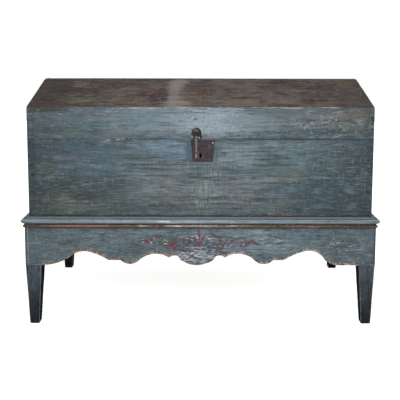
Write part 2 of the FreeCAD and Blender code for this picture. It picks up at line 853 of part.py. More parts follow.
def keyhole_guard():
    """The raised arch round the keyhole, proud of the lock plate."""
    y0 = plate_face - guard_rise
    outer = arch_prism(guard_width / 2, guard_height, guard_bottom(), y0, plate_face)
    inner = arch_prism(guard_width / 2 - guard_bar, guard_height - guard_bar, guard_bottom(), y0, plate_face)
    return outer.cut(inner)


def keyhole():
    """The keyhole's passage through the lock plate and the front board."""
    bottom = guard_bottom() + (guard_height - keyhole_height) / 2 - guard_bar / 2
    return arch_prism(keyhole_width / 2, keyhole_height, bottom, plate_face, inner_front)


def loop_slot():
    """The slot through plate and board that the hasp's loop enters, deep enough for its swing."""
    half = loop_bar / 2 + loop_slot_clearance
    return block(hasp_centre - half, hasp_centre + half, plate_face, inner_front,
                 hasp_axis_z - loop_swing_radius - loop_slot_clearance, loop_top + loop_slot_clearance)


def lock_plate(cutters):
    """The iron lock plate, a little narrower at the bottom."""
    outline = polygon(lock_corners())
    return extrude_outline(outline, V(0, -lock_plate_thickness, 0)).cut(group(cutters))


def lock_box_span():
    """The lock box's left, right, bottom and top, set about the bolt."""
    left = hasp_centre - lock_box_left_reach
    bottom = bolt_middle_z - lock_box_height / 2
    return left, left + lock_box_width, bottom, bottom + lock_box_height


def lock_box_nails():
    """Nails through the lock box's two flanges into the front board."""
    x0, x1, z0, z1 = lock_box_span()
    mid = lock_box_flange / 2
    face = inner_front + lock_box_wall
    return [nail(V(x, face, z), V(0, 1, 0), strap_nail_length)
            for x in (x0 - mid, x1 + mid) for z in (z0 + mid, z1 - mid)]


def lock_box(nails):
    """The sheet-iron lock box inside the front: a shallow tray with flanges, open towards the board."""
    x0, x1, z0, z1 = lock_box_span()
    w = lock_box_wall
    depth = inner_front + lock_box_depth
    tray = block(x0, x1, inner_front, depth, z0, z1)
    tray = tray.cut(block(x0 + w, x1 - w, inner_front, depth - w, z0 + w, z1 - w))
    flanges = [block(x0 - lock_box_flange, x0, inner_front, inner_front + w, z0, z1),
               block(x1, x1 + lock_box_flange, inner_front, inner_front + w, z0, z1)]
    shelf_top = bolt_middle_z - bolt_height / 2 - bolt_clearance
    shelf_end = bolt_rest + bolt_length - bolt_travel
    shelf = block(bolt_rest, shelf_end, inner_front, depth - w, shelf_top - w, shelf_top)
    return fuse([tray, shelf] + flanges).cut(group(nails))


def lock_bolt():
    """The sliding bolt, drawn back clear of the hasp's loop."""
    z0 = bolt_middle_z - bolt_height / 2
    y0 = inner_front + bolt_clearance
    return block(bolt_rest, bolt_rest + bolt_length, y0, y0 + bolt_thickness, z0, z0 + bolt_height)


# ---------------------------------------------------------------- hasp
def hasp_plate_nails():
    """Two nails in the hasp's hinge plate."""
    z = hasp_axis_z + hasp_knuckle_radius + hasp_plate_hole_radius
    x = hasp_plate_width / 2 - nail_head_radius - nail_head_margin
    face = front - lock_plate_thickness
    return [nail(V(hasp_centre + side * x, face, z), V(0, -1, 0), strap_nail_length) for side in (-1, 1)]


def hasp_hinge_plate(nails):
    """The arched plate on the lid front, with a hole and two knuckles for the hasp's pin."""
    half = hasp_plate_width / 2
    y = front
    bottom = hasp_axis_z + hasp_knuckle_radius + 2 * hasp_clearance
    top = bottom + hasp_plate_height - hasp_knuckle_radius
    shoulder = top - half
    edges = [
        line(V(hasp_centre - half, y, bottom), V(hasp_centre - half, y, shoulder)),
        arc(V(hasp_centre - half, y, shoulder), V(hasp_centre, y, top), V(hasp_centre + half, y, shoulder)),
        line(V(hasp_centre + half, y, shoulder), V(hasp_centre + half, y, bottom)),
        line(V(hasp_centre + half, y, bottom), V(hasp_centre - half, y, bottom)),
    ]
    plate = extrude_outline(edges, V(0, -lock_plate_thickness, 0))
    hole = rod(hasp_plate_hole_radius, V(hasp_centre, y - lock_plate_thickness, shoulder),
               V(hasp_centre, y, shoulder))
    parts = [plate]
    inner = hasp_width / 2 + knuckle_side_gap
    for side in (-1, 1):
        a = hasp_centre + side * inner
        b = hasp_centre + side * half
        x0 = min(a, b)
        x1 = max(a, b)
        parts.append(block(x0, x1, y - lock_plate_thickness, y, hasp_axis_z, bottom))
        knuckle_start = V(x0, hasp_axis_y, hasp_axis_z)
        parts.append(rod(hasp_knuckle_radius, knuckle_start, V(x1, hasp_axis_y, hasp_axis_z)))
    bore = rod(hasp_pin_radius, V(hasp_centre - half, hasp_axis_y, hasp_axis_z),
               V(hasp_centre + half, hasp_axis_y, hasp_axis_z))
    return fuse(parts).cut(group([hole, bore] + nails))


def hasp_pin():
    """The pin through the hinge plate's knuckles."""
    half = hasp_plate_width / 2
    return rod(hasp_pin_radius, V(hasp_centre - half, hasp_axis_y, hasp_axis_z),
               V(hasp_centre + half, hasp_axis_y, hasp_axis_z))


def hasp():
    """The hanging hasp: knuckle, flat bar with a rounded tip and the square loop that enters the lock."""
    half = hasp_width / 2
    y1 = hasp_back
    y0 = y1 - hasp_thickness
    tip = hasp_axis_z - hasp_length
    bar = block(hasp_centre - half, hasp_centre + half, y0, y1, tip + half, hasp_axis_z)
    toe = rod(half, V(hasp_centre, y0, tip + half), V(hasp_centre, y1, tip + half))
    barrel = rod(hasp_knuckle_radius, V(hasp_centre - half, hasp_axis_y, hasp_axis_z),
                 V(hasp_centre + half, hasp_axis_y, hasp_axis_z))
    x0 = hasp_centre - loop_bar / 2
    x1 = hasp_centre + loop_bar / 2
    loop = block(x0, x1, y1, loop_inner_end, loop_bottom, loop_top)
    eye = block(x0, x1, y1, loop_inner_end - loop_bar, loop_bottom + loop_bar, loop_top - loop_bar)
    bore = rod(hasp_pin_radius + pin_running_clearance, V(hasp_centre - half, hasp_axis_y, hasp_axis_z),
               V(hasp_centre + half, hasp_axis_y, hasp_axis_z))
    return fuse([bar, toe, barrel, loop]).cut(group([eye, bore]))


# ---------------------------------------------------------------- assembly
front_leg = leg()
back_leg = mirrored_y(front_leg)
pegs = leg_pegs()
for name, shape in (("front", front_leg), ("back", back_leg)):
    export(shape.cut(pegs), "leg_" + name + "_right")
    export(mirrored_x(shape).cut(pegs), "leg_" + name + "_left")
export(pegs, "leg_pegs")

bearers = [bearer(x) for x in bearer_places()]
for index, shape in enumerate(bearers):
    export(shape, "bearer_" + str(index + 1))
export(front_apron(bearers, pegs), "apron_front")
export(back_apron(bearers, pegs), "apron_back")
export(side_apron(pegs), "apron_right")
export(mirrored_x(side_apron(pegs)), "apron_left")

for name, outline in (("moulding", moulding_outline), ("bead", bead_outline)):
    export(rim_front(outline), name + "_front")
    export(rim_side(outline), name + "_right")
    export(mirrored_x(rim_side(outline)), name + "_left")

floor_nails = bottom_nails()
right_leaf_nails = leaf_nails()
plate_nails = lock_nails()
box_nails = lock_box_nails()
passages = [keyhole(), loop_slot()]
export(floor_nails, "bottom_nails")
export(case_wall(front, inner_front, [floor_nails] + plate_nails + box_nails + passages), "case_front")
export(case_wall(inner_back, back, [floor_nails] + both_ends(right_leaf_nails)), "case_back")
export(case_end(), "case_end_right")
export(mirrored_x(case_end()), "case_end_left")
for index in range(bottom_board_count):
    export(bottom_board(index, floor_nails), "bottom_board_" + str(index + 1))

top_nails = lid_nails()
right_strap_nails = strap_nails()
both_strap_nails = both_ends(right_strap_nails)
arch_nails = hasp_plate_nails()
front_plank = slope_plank(top_nails)
export(front_plank, "lid_plank_front")
export(mirrored_y(slope_plank(top_nails)).cut(group(both_strap_nails)), "lid_plank_rear")
export(ridge_plank(top_nails), "lid_plank_ridge")
export(lid_front_board(arch_nails), "lid_front")
export(mirrored_y(lid_front_board([])).cut(group(both_strap_nails)), "lid_back")
export(lid_end(top_nails), "lid_end_right")
export(mirrored_x(lid_end(top_nails)), "lid_end_left")
export(lid_rib(top_nails), "lid_rib_right")
export(mirrored_x(lid_rib(top_nails)), "lid_rib_left")
export(group(top_nails), "lid_nails")

export(case_leaf(right_leaf_nails), "hinge_leaf_right")
export(mirrored_x(case_leaf(right_leaf_nails)), "hinge_leaf_left")
export(group(both_ends(right_leaf_nails)), "hinge_leaf_nails")
export(lid_strap(right_strap_nails), "lid_strap_right")
export(mirrored_x(lid_strap(right_strap_nails)), "lid_strap_left")
export(group(both_strap_nails), "lid_strap_nails")
export(group(both_ends([hinge_pin()])), "hinge_pins")

export(lock_plate(plate_nails + passages), "lock_plate")
export(group(plate_nails), "lock_plate_nails")
export(keyhole_guard(), "keyhole_guard")
export(lock_box(box_nails), "lock_box")
export(group(box_nails), "lock_box_nails")
export(lock_bolt(), "lock_bolt")

export(hasp_hinge_plate(arch_nails), "hasp_hinge_plate")
export(group(arch_nails), "hasp_plate_nails")
export(hasp_pin(), "hasp_pin")
export(hasp(), "hasp")
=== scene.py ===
"""Dresses a painted coffer on its joined stand.

The frame gives every board and iron its place. The classes below stand for the coffer's
sub-assemblies: each makes the surfaces that need worn, hand-made shapes and dresses the rest
with layered finishes. All lengths are metres in the frame's own coordinates.
"""
import logging
import math
from dataclasses import dataclass, replace
from enum import Enum
from typing import Optional, Sequence

import bpy
import numpy as np
from mathutils import Matrix, Vector


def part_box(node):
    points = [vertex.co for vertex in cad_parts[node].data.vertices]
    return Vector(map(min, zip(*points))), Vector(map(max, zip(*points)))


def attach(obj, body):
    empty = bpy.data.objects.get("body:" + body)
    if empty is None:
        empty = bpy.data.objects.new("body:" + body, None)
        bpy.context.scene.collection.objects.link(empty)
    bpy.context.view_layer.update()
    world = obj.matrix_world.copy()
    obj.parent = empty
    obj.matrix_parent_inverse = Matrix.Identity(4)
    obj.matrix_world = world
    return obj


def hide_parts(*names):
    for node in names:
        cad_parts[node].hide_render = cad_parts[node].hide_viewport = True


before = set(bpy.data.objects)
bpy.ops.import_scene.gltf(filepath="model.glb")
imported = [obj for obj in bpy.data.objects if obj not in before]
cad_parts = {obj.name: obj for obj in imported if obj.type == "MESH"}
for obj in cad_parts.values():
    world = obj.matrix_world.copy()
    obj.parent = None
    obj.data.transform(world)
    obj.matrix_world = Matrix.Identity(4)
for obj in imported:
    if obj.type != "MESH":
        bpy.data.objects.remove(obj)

LOG = logging.getLogger("coffer")
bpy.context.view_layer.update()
Tone = tuple[int, int, int]
Pair = tuple[float, float]
Plane = tuple[int, float]

BOARD = 0.02  # thickness of the aprons, of the case's and the lid's ends, and of the planks
PEG_RISE = 0.026  # from the leg line to the underside of the lowest peg
MITRE_LIP = 0.024  # height of the rim's moulding over the stand
WHITE = (1.0, 1.0, 1.0, 1.0)
# tone of the painted shade that darkens the legs towards the floor
PAINTED_FOOT_SHADE = (32, 32, 35)
# tone of the painted shade on the legs' inner sides
SHADE = (18, 20, 22)
PAINT_RELIEF = (0.0022, 0.55)  # depth and strength of the brush marks' relief

# Where an area's soft edge starts and ends, in half sizes from its middle.
PATCH_EDGE = (1.25, 0.35)
VEIL_EDGE = (1.15, 0.45)
BAND_EDGE = (1.1, 0.5)
SCUFF_EDGE = (1.1, 0.6)


def pigment(tone: Tone) -> tuple[float, float, float, float]:
    """A tone of 0 to 255 per channel, as read off a screen, as a linear colour with full cover.

    Args:
        tone: red, green and blue.

    Returns:
        The linear colour.
    """
    value = np.array(tone, dtype=float) / 255.0
    linear = np.where(value <= 0.04045, value / 12.92, ((value + 0.055) / 1.055) ** 2.4)
    return (float(linear[0]), float(linear[1]), float(linear[2]), 1.0)


def side_of(node: str, axis: int, high: bool) -> float:
    """One face of a CAD node's box: the upper or the lower one on an axis."""
    return float(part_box(node)[1 if high else 0][axis])


def outer_planes(front: float, back: float, half_width: float) -> tuple[Plane, ...]:
    """The four upright faces of a box that carry its paint, as (axis, place)."""
    return ((1, front), (0, half_width), (0, -half_width), (1, back))


class Grain(Enum):
    """The way that a board's fibres run."""

    ACROSS = (1, 0, 0)
    INWARD = (0, 1, 0)
    UPRIGHT = (0, 0, 1)

    def scales(self, along: float, across: float) -> tuple[float, ...]:
        """Pattern scales, lower along the fibres than across them."""
        return tuple(along if a else across for a in self.value)


class Face(Enum):
    """The two axes in which a face's patches are placed."""

    FRONT = (0, 2)
    TOP = (0, 1)
    END = (1, 2)


@dataclass(frozen=True)
class Patch:
    """A soft, ragged area of another tone.

    centre and size are in the two axes of the face, and strength is the cover at the middle.
    """

    centre: Pair
    size: Pair
    tone: Tone
    strength: float


@dataclass(frozen=True)
class Scuff(Patch):
    """An area strewn with short broken flecks of another tone.

    strength is the flecks' cover. pitch is how many of them fit in a metre along and across the
    grain, and level how high their cloud must rise to show: about half of it lies over 0.50, a
    fifth over 0.58 and a twentieth over 0.65.
    """

    level: float = 0.58
    pitch: Pair = (40.0, 140.0)


@dataclass(frozen=True)
class Band:
    """A straight strip of another tone beside a plane, such as a rubbed arris, a dirty corner, or a line of
    painted shade or painted highlight.

    axis and at give the plane, width how far the strip reaches, and rag how broken its edge is.
    """

    axis: int
    at: float
    width: float
    tone: Tone
    strength: float
    rag: float = 3.0


def each(kind: type, *rows: tuple) -> tuple:
    """One object of a kind for each row of its fields."""
    return tuple(kind(*row) for row in rows)


@dataclass(frozen=True)
class Meeting:
    """Another finish that takes over past a plane, with a broken border and a worn line on it.

    toward is 1 where it lies on the plane's high side and -1 on the low side, and rag is the
    depth of the border's bays. dull is the middle and half length in X of a stretch where the line
    hardly shows.
    """

    finish: "AgedPaint"
    axis: int
    at: float
    toward: float
    rag: float
    line: Tone = (176, 166, 164)
    dull: Pair = (-0.46, 0.2)


@dataclass(frozen=True)
class Joint:
    """Dovetails that show at a board's ends as a row of paler and darker blocks.

    start and end bound the row in Z, count is its number of tails, and pin is a pin's height. The
    pins lie further than inner from the middle in X, and a dark gap runs round each.
    """

    start: float
    end: float
    count: int
    pin: float
    inner: float
    tone: Tone
    gap_tone: Tone


class Graph:
    """A node tree, with short ways to add nodes and to join them."""

    def __init__(self, owner: bpy.types.ID) -> None:
        """Empties the tree of a material or a world.

        Args:
            owner: the material or world.
        """
        owner.use_nodes = True
        self.tree = owner.node_tree
        self.tree.nodes.clear()

    def join(self, source: object, socket: bpy.types.NodeSocket) -> None:
        """Feeds a socket from another socket, or sets it to a plain value.

        Args:
            source: the socket or the value.
            socket: the input that it goes into.
        """
        if isinstance(source, bpy.types.NodeSocket):
            self.tree.links.new(source, socket)
        else:
            socket.default_value = source

    def add(self, kind: str, inputs: dict, **settings: object) -> bpy.types.Node:
        """Adds a node.

        Args:
            kind: its type, less the first part that all types share.
            inputs: a socket or a plain value for each input that is set, by name or number.
            settings: the node's own properties.

        Returns:
            The node.
        """
        node = self.tree.nodes.new("ShaderNode" + kind)
        for name, value in settings.items():
            setattr(node, name, value)
        for key, value in inputs.items():
            self.join(value, node.inputs[key])
        return node

    def figure(self, operation: str, *values: object) -> bpy.types.NodeSocket:
        """One step of arithmetic: the Math node's operation on sockets or numbers, in order."""
        return self.add("Math", dict(enumerate(values)), operation=operation).outputs[0]

    def plus(self, *values: object) -> bpy.types.NodeSocket:
        """The sum of two numbers."""
        return self.figure("ADD", *values)

    def minus(self, *values: object) -> bpy.types.NodeSocket:
        """The first number less the second."""
        return self.figure("SUBTRACT", *values)

    def times(self, *values: object) -> bpy.types.NodeSocket:
        """The product of two numbers."""
        return self.figure("MULTIPLY", *values)

    def line(self, *values: object) -> bpy.types.NodeSocket:
        """The first number times the second, plus the third."""
        return self.figure("MULTIPLY_ADD", *values)

    def absolute(self, value: object) -> bpy.types.NodeSocket:
        """The number without its sign."""
        return self.figure("ABSOLUTE", value)

    def ease(self, value: object, start: float, end: float, top: float = 1.0,
             bottom: float = 0.0) -> bpy.types.NodeSocket:
        """A smooth rise from bottom at start to top at end; start may lie above end."""
        inputs = dict(enumerate((value, start, end, bottom, top)))
        return self.add("MapRange", inputs, interpolation_type="SMOOTHSTEP").outputs[0]

    def looked_at(self) -> bpy.types.NodeSocket:
        """1 for what the camera sees, straight or in a reflection or through glass, else 0.

        Returns:
            The socket that carries it.
        """
        path = self.add("LightPath", {})
        either: bpy.types.NodeSocket = path.outputs["Is Camera Ray"]
        for kind in ("Is Glossy Ray", "Is Transmission Ray"):
            either = self.figure("MAXIMUM", either, path.outputs[kind])
        return either


class Brushwork(Graph):
    """Builds one finish as a chain of nodes; colour is the colour so far, from the ground up."""

    def __init__(self, name: str) -> None:
        """Starts an empty finish.

        Args:
            name: the material's name.
        """
        self.material = bpy.data.materials.new(name)
        super().__init__(self.material)
        self.shader = self.add("BsdfPrincipled", {})
        self.add("OutputMaterial", {"Surface": self.shader.outputs["BSDF"]})
        self.place = self.add("TexCoord", {}).outputs["Object"]
        self.axes = tuple(self.add("SeparateXYZ", {0: self.place}).outputs)
        self.shift = 0.0
        self.colour: object = WHITE

    def placed(self, scale: Sequence[float], shift: Sequence[float]) -> bpy.types.NodeSocket:
        """The place on the object, times a scale plus a shift on each axis."""
        inputs = {0: self.place, 1: tuple(scale), 2: tuple(shift)}
        return self.add("VectorMath", inputs, operation="MULTIPLY_ADD").outputs[0]

    def cloud(self, scales: Sequence[float], detail: float = 4.0,
              rough: float = 0.55) -> bpy.types.NodeSocket:
        """Cloudy variation about one half, stretched by its scales, different at each call.

        Args:
            scales: how many features fit in a metre on each axis.
            detail: number of finer layers.
            rough: weight of the finer layers.

        Returns:
            The variation.
        """
        self.shift += 7.31
        place = self.placed(scales, (self.shift, self.shift * 0.37, self.shift * 1.7))
        inputs = {"Vector": place, "Scale": 1.0, "Detail": detail, "Roughness": rough}
        return self.add("TexNoise", inputs).outputs[0]

    def reach(self, centre: Sequence[float], size: Sequence[float],
              axes: Sequence[int]) -> bpy.types.NodeSocket:
        """Distance from a centre in half sizes: one on the ellipse with those half axes.

        Args:
            centre: the centre on each of the axes.
            size: the half size on each.
            axes: the axes.

        Returns:
            The distance.
        """
        inverse = [0.0, 0.0, 0.0]
        offset = [0.0, 0.0, 0.0]
        for axis, middle, half in zip(axes, centre, size):
            inverse[axis] = 1.0 / half
            offset[axis] = -middle / half
        return self.add("VectorMath", {0: self.placed(inverse, offset)}, operation="LENGTH").outputs["Value"]

    def cover(self, below: object, above: object, mask: object) -> bpy.types.NodeSocket:
        """Mixes the colour above over the one below, as much of it as the mask of 0 to 1 shows."""
        return self.add("Mix", {0: mask, 6: below, 7: above}, data_type="RGBA").outputs[2]

    def lay(self, tone: object, mask: object) -> None:
        """Lays a tone, or a colour that other nodes make, over the colour so far.

        Args:
            tone: the tone or the colour's socket.
            mask: how much of it shows, 0 to 1.
        """
        above = pigment(tone) if isinstance(tone, tuple) else tone
        self.colour = self.cover(self.colour, above, mask)

    def carried(self, name: str) -> bpy.types.NodeSocket:
        """A number carried by the mesh's points; 0 on a mesh without it."""
        return self.add("Attribute", {}, attribute_name=name).outputs["Fac"]

    def relief(self, height: object, depth: float, strength: float) -> None:
        """Raises the surface's light and shade by a height of 0 to 1 times depth."""
        bump = self.add("Bump", {"Strength": strength, "Distance": depth, "Height": height})
        self.join(bump.outputs[0], self.shader.inputs["Normal"])

    def finish(self, roughness: object, metallic: float, gloss: float) -> bpy.types.Material:
        """Connects the last colour and sets the shader's other values.

        Args:
            roughness: the roughness socket.
            metallic: share of metal.
            gloss: the specular level.

        Returns:
            The finished material.
        """
        for name, value in (("Base Color", self.colour), ("Roughness", roughness), ("Metallic", metallic),
                            ("Specular IOR Level", gloss)):
            self.join(value, self.shader.inputs[name])
        return self.material


@dataclass(frozen=True)
class AgedPaint:
    """Old distemper brushed along the grain: streaked, patched, and rubbed through at the arrises.

    Patches and the short cross lines of hatches lie under the streaks, and veils over them. length
    and weave change the streaks' number along and across the grain, and ragged breaks the patches'
    outlines. painted lists the planes that carry the paint; the rest of the board stays bare. With
    no planes, it is painted all over, but for the faces that the mesh of a lined one marks as
    underside. foot_shade paints shade that darkens it from shade_top down to the floor, and shaded
    paints dark shade on the faces that the mesh marks as shaded.
    """

    name: str
    grain: Grain = Grain.ACROSS
    face: Face = Face.FRONT
    body: Tone = (80, 92, 96)
    light: Tone = (132, 145, 151)
    dark: Tone = (42, 51, 55)
    cool: Tone = (74, 91, 101)
    warm: Tone = (82, 85, 76)
    flake: Tone = (152, 164, 170)
    wood: Tone = (112, 84, 62)
    bare: Tone = (128, 100, 74)
    patches: tuple[Patch, ...] = ()
    veils: tuple[Patch, ...] = ()
    bands: tuple[Band, ...] = ()
    hatches: tuple[Patch, ...] = ()
    scuffs: tuple[Scuff, ...] = ()
    joint: Optional[Joint] = None
    beside: Optional[Meeting] = None
    painted: tuple[Plane, ...] = ()
    rub_tone: Tone = (150, 128, 108)
    flakes: float = 0.4
    contrast: float = 1.0
    length: float = 1.0
    weave: float = 1.0
    ragged: float = 3.4
    gloss: float = 0.18
    foot_shade: float = 0.0
    shade_top: float = 0.16
    shaded: float = 0.0
    ornament: bool = False
    lined: bool = False

    def make(self) -> bpy.types.Material:
        """Builds the finish, with the other one that meets it where there is one.

        Returns:
            The material.
        """
        brush = Brushwork(self.name)
        roughness, height = self.layers(brush)
        if self.beside is not None:
            roughness, height = self.meet(brush, self.beside, roughness, height)
        brush.relief(height, *PAINT_RELIEF)
        return brush.finish(roughness, 0.0, self.gloss)

    def meet(self, brush: Brushwork, meeting: Meeting, roughness: object,
             height: object) -> tuple[object, object]:
        """Lets the other finish take over past its plane and wears a line between the two.

        Args:
            brush: the finish being built.
            meeting: the other finish and its border.
            roughness: this finish's roughness.
            height: its relief.

        Returns:
            The roughness and the height of both together.
        """
        own = brush.colour
        rough, raised = meeting.finish.layers(brush)
        bays = brush.cloud(self.grain.scales(60.0, 60.0), 4.0)
        border = brush.line(bays, -meeting.rag, meeting.at + 0.5 * meeting.rag)
        past = brush.minus(brush.axes[meeting.axis], border)
        mask = brush.ease(past, -0.0004 * meeting.toward, 0.0004 * meeting.toward)
        brush.colour = brush.cover(own, brush.colour, mask)
        thin = brush.ease(brush.absolute(past), 0.0016, 0.0005)
        chips = brush.cloud(self.grain.scales(12.0, 30.0), 6.0, 0.75)
        thin = brush.times(thin, brush.ease(chips, 0.48, 0.6, 0.75))
        aside = brush.reach((meeting.dull[0],), (meeting.dull[1],), (0,))
        brush.lay(meeting.line, brush.times(thin, brush.ease(aside, 0.8, 1.1)))
        return (brush.line(mask, brush.minus(rough, roughness), roughness),
                brush.line(mask, brush.minus(raised, height), height))

    def scales(self, along: float, across: float) -> tuple[float, ...]:
        """Pattern scales for this finish's own length and closeness of streaks."""
        return self.grain.scales(along * self.length, across * self.weave)

    def layers(self, brush: Brushwork) -> tuple[object, object]:
        """Lays the paint, from the ground colour to the dirt, with painted shade and painted highlights among
        the layers.

        Args:
            brush: the finish being built.

        Returns:
            The roughness and the height of the relief.
        """
        broad = brush.cloud(self.scales(2.6, 9.0), 3.0)
        drift = brush.cloud(self.scales(7.0, 38.0), 4.0, 0.6)
        streak = brush.cloud(self.scales(15.0, 130.0), 6.0, 0.68)
        fine = brush.cloud(self.scales(60.0, 380.0), 5.0, 0.62)
        speck = brush.cloud(self.scales(120.0, 480.0), 3.0, 0.6)
        haze = brush.cloud(self.scales(22.0, 40.0), 4.0, 0.6)
        cross = brush.cloud(self.scales(330.0, 30.0), 4.0, 0.6)
        brush.colour = pigment(self.body)
        brush.lay(self.cool, brush.ease(broad, 0.44, 0.6))
        brush.lay(self.warm, brush.ease(drift, 0.52, 0.66, 0.75))
        ragged = brush.line(streak, -self.ragged, 0.5 * self.ragged)
        for patch in self.patches:
            brush.lay(patch.tone, brush.ease(self.away(brush, patch, ragged), *PATCH_EDGE, patch.strength))
        for hatch in self.hatches:
            inside = brush.ease(self.away(brush, hatch, ragged), *PATCH_EDGE)
            lines = brush.cloud(self.scales(330.0, 22.0), 3.0, 0.5)
            brush.lay(hatch.tone, brush.times(inside, brush.ease(lines, 0.5, 0.6, hatch.strength)))
        for cloud, dark, light in (
                (haze, (0.48, 0.32, 0.45), (0.54, 0.7, 0.28)),
                (streak, (0.49, 0.33, 0.6), (0.54, 0.72, 0.4)),
                (fine, (0.48, 0.34, 0.55), (0.54, 0.7, 0.42)),
                (cross, (0.48, 0.34, 0.16), (0.54, 0.7, 0.15))):
            for tone, (start, end, most) in ((self.dark, dark), (self.light, light)):
                brush.lay(tone, brush.ease(cloud, start, end, most * self.contrast))
        for veil in self.veils:
            brush.lay(veil.tone, brush.ease(self.away(brush, veil, ragged), *VEIL_EDGE, veil.strength))
        if self.joint is not None:
            self.show_joint(brush, self.joint, streak)
        if self.foot_shade:
            # painted shade: the legs grow darker from shade_top down to the floor
            low = brush.figure("POWER", brush.ease(brush.axes[2], self.shade_top, -0.02), 0.85)
            brush.lay(PAINTED_FOOT_SHADE, brush.times(low, self.foot_shade))
        if self.shaded:
            # painted shade on the faces that the mesh marks as shaded
            brush.lay(SHADE, brush.times(brush.carried("shaded"), self.shaded))
        for band in self.bands:
            away = brush.absolute(brush.minus(brush.axes[band.axis], band.at))
            away = brush.line(away, 1.0 / band.width, brush.line(streak, -band.rag, 0.5 * band.rag))
            brush.lay(band.tone, brush.ease(away, *BAND_EDGE, band.strength))
        chip = brush.ease(brush.plus(speck, brush.times(drift, 0.35)), 0.8, 0.86, self.flakes)
        brush.lay(self.flake, chip)
        self.rub_through(brush, streak, speck)
        for scuff in self.scuffs:
            flecks = brush.cloud(self.grain.scales(*scuff.pitch), 2.0, 0.5)
            inside = brush.ease(brush.reach(scuff.centre, scuff.size, self.face.value), *SCUFF_EDGE)
            mask = brush.ease(flecks, scuff.level, scuff.level + 0.05, scuff.strength)
            brush.lay(scuff.tone, brush.times(mask, inside))
        roughness = brush.line(streak, -0.35, 0.8)
        if self.painted or self.lined:
            roughness = self.leave_bare(brush, roughness, streak, fine)
        height = brush.minus(brush.plus(streak, brush.times(fine, 0.5)), brush.times(chip, 0.35))
        return roughness, height

    def away(self, brush: Brushwork, area: Patch, ragged: object) -> bpy.types.NodeSocket:
        """Distance from an area's centre in half sizes, made ragged by the streaks."""
        return brush.plus(brush.reach(area.centre, area.size, self.face.value), ragged)

    def rub_through(self, brush: Brushwork, streak: object, speck: object) -> None:
        """Wears the paint to wood along the arrises that the mesh marks, and adds the ornament.

        The cover is a smooth step of the carried closeness to an arris times the streaks and specks.

        Args:
            brush: the finish being built.
            streak: the streak variation.
            speck: the fine variation.
        """
        near = brush.carried("arris")
        broken = brush.plus(brush.times(streak, 1.6), brush.times(speck, 1.2))
        if self.ornament:
            self.chip_edge(brush, broken)
        edge = brush.times(near, broken)
        brush.lay(self.rub_tone, brush.ease(edge, 0.75, 1.45, 0.9))
        brush.lay(self.wood, brush.ease(edge, 1.35, 1.75, 0.9))
        if self.ornament:
            self.paint_ornament(brush, streak, speck)

    @staticmethod
    def chip_edge(brush: Brushwork, broken: object) -> None:
        """Wears the scalloped edge, whose mesh carries the millimetres above it.

        Flecked strips follow each other downwards: rubbed paint, dirt, bare wood, red ground, soot
        and chips. Each has its far and close limits, its cover, and its flecks' pitch and level.

        Args:
            brush: the finish being built.
            broken: the mixed streaks and specks that break the strips.
        """
        drop = brush.minus(brush.times(broken, 9.0), 12.6)
        gap = brush.plus(brush.carried("edge_gap"), drop)
        worn = brush.carried("edge_wear")
        side = brush.ease(brush.axes[0], -0.02, 0.12)
        bare = brush.cover(pigment((156, 128, 106)), pigment((170, 163, 160)), side)
        sooty = brush.times(worn, brush.carried("edge_soot"))
        for tone, far, close, most, share, pitch, level in (
                ((140, 132, 126), 19.0, 7.0, 0.42, worn, 60.0, 0.3),
                ((52, 44, 42), 13.5, 9.5, 0.85, worn, 130.0, 0.49),
                (bare, 8.0, 6.0, 0.9, worn, 110.0, 0.45),
                ((136, 92, 86), 9.0, 6.0, 0.6, worn, 45.0, 0.57),
                ((48, 38, 34), 3.6, 2.6, 0.9, sooty, 70.0, 0.4),
                ((214, 204, 194), 3.4, 2.4, 0.55, worn, 70.0, 0.6)):
            flecks = brush.ease(brush.cloud((pitch, pitch, pitch), 2.0, 0.5), level, level + 0.06)
            mask = brush.times(share, brush.ease(gap, far, close, most))
            brush.lay(tone, brush.times(mask, flecks))

    @staticmethod
    def show_joint(brush: Brushwork, joint: Joint, streak: object) -> None:
        """Shows the dovetails' pins at both ends of a board, with the dark line that bounds them.

        A pin shows where the height, folded by the pitch, lies within half a pin of a whole number.

        Args:
            brush: the finish being built.
            joint: the row of dovetails.
            streak: the streak variation.
        """
        pitch = (joint.end - joint.start) / joint.count
        turns = brush.line(brush.axes[2], 1.0 / pitch, 0.5 - joint.start / pitch)
        fold = brush.absolute(brush.minus(brush.figure("FRACT", turns), 0.5))
        away = brush.times(fold, pitch / (0.5 * joint.pin))
        wide = brush.absolute(brush.axes[0])
        zone = brush.ease(wide, joint.inner - 0.0006, joint.inner + 0.0006)
        pin = brush.times(brush.ease(away, 1.08, 0.96), zone)
        brush.lay(joint.tone, brush.times(pin, 0.55))
        rim = brush.minus(1.0, brush.absolute(brush.minus(away, 1.0)))
        round_pin = brush.times(brush.ease(rim, 0.8, 0.93), zone)
        inner = brush.ease(brush.absolute(brush.minus(wide, joint.inner)), 0.0014, 0.0004)
        gap = brush.figure("MAXIMUM", round_pin, inner)
        brush.lay(joint.gap_tone, brush.times(gap, brush.ease(streak, 0.42, 0.56)))

    @staticmethod
    def paint_ornament(brush: Brushwork, streak: object, speck: object) -> None:
        """Paints the flower sprays from the distances that the mesh carries, worn by the streaks.

        Each carried number is a brush stroke's half width less the distance to its middle line, in
        millimetres, so the paint ends where it falls to the broken edge's level.

        Args:
            brush: the finish being built.
            streak: the streak variation.
            speck: the fine variation.
        """
        broken = brush.plus(brush.times(streak, 4.0), brush.times(speck, 9.0))
        depth = brush.minus(brush.carried("red_strokes"), brush.minus(broken, 6.8))
        brush.lay((76, 62, 70), brush.ease(depth, -3.0, -0.8, 0.45))
        faded = brush.ease(brush.cloud((120.0, 120.0, 120.0), 3.0), 0.4, 0.56, 0.55)
        thick = brush.minus(0.95, faded)
        brush.lay((72, 42, 50), brush.times(brush.ease(depth, -0.6, 0.5), thick))
        brush.lay((122, 66, 66), brush.times(brush.ease(depth, 0.8, 1.8, 0.7), thick))

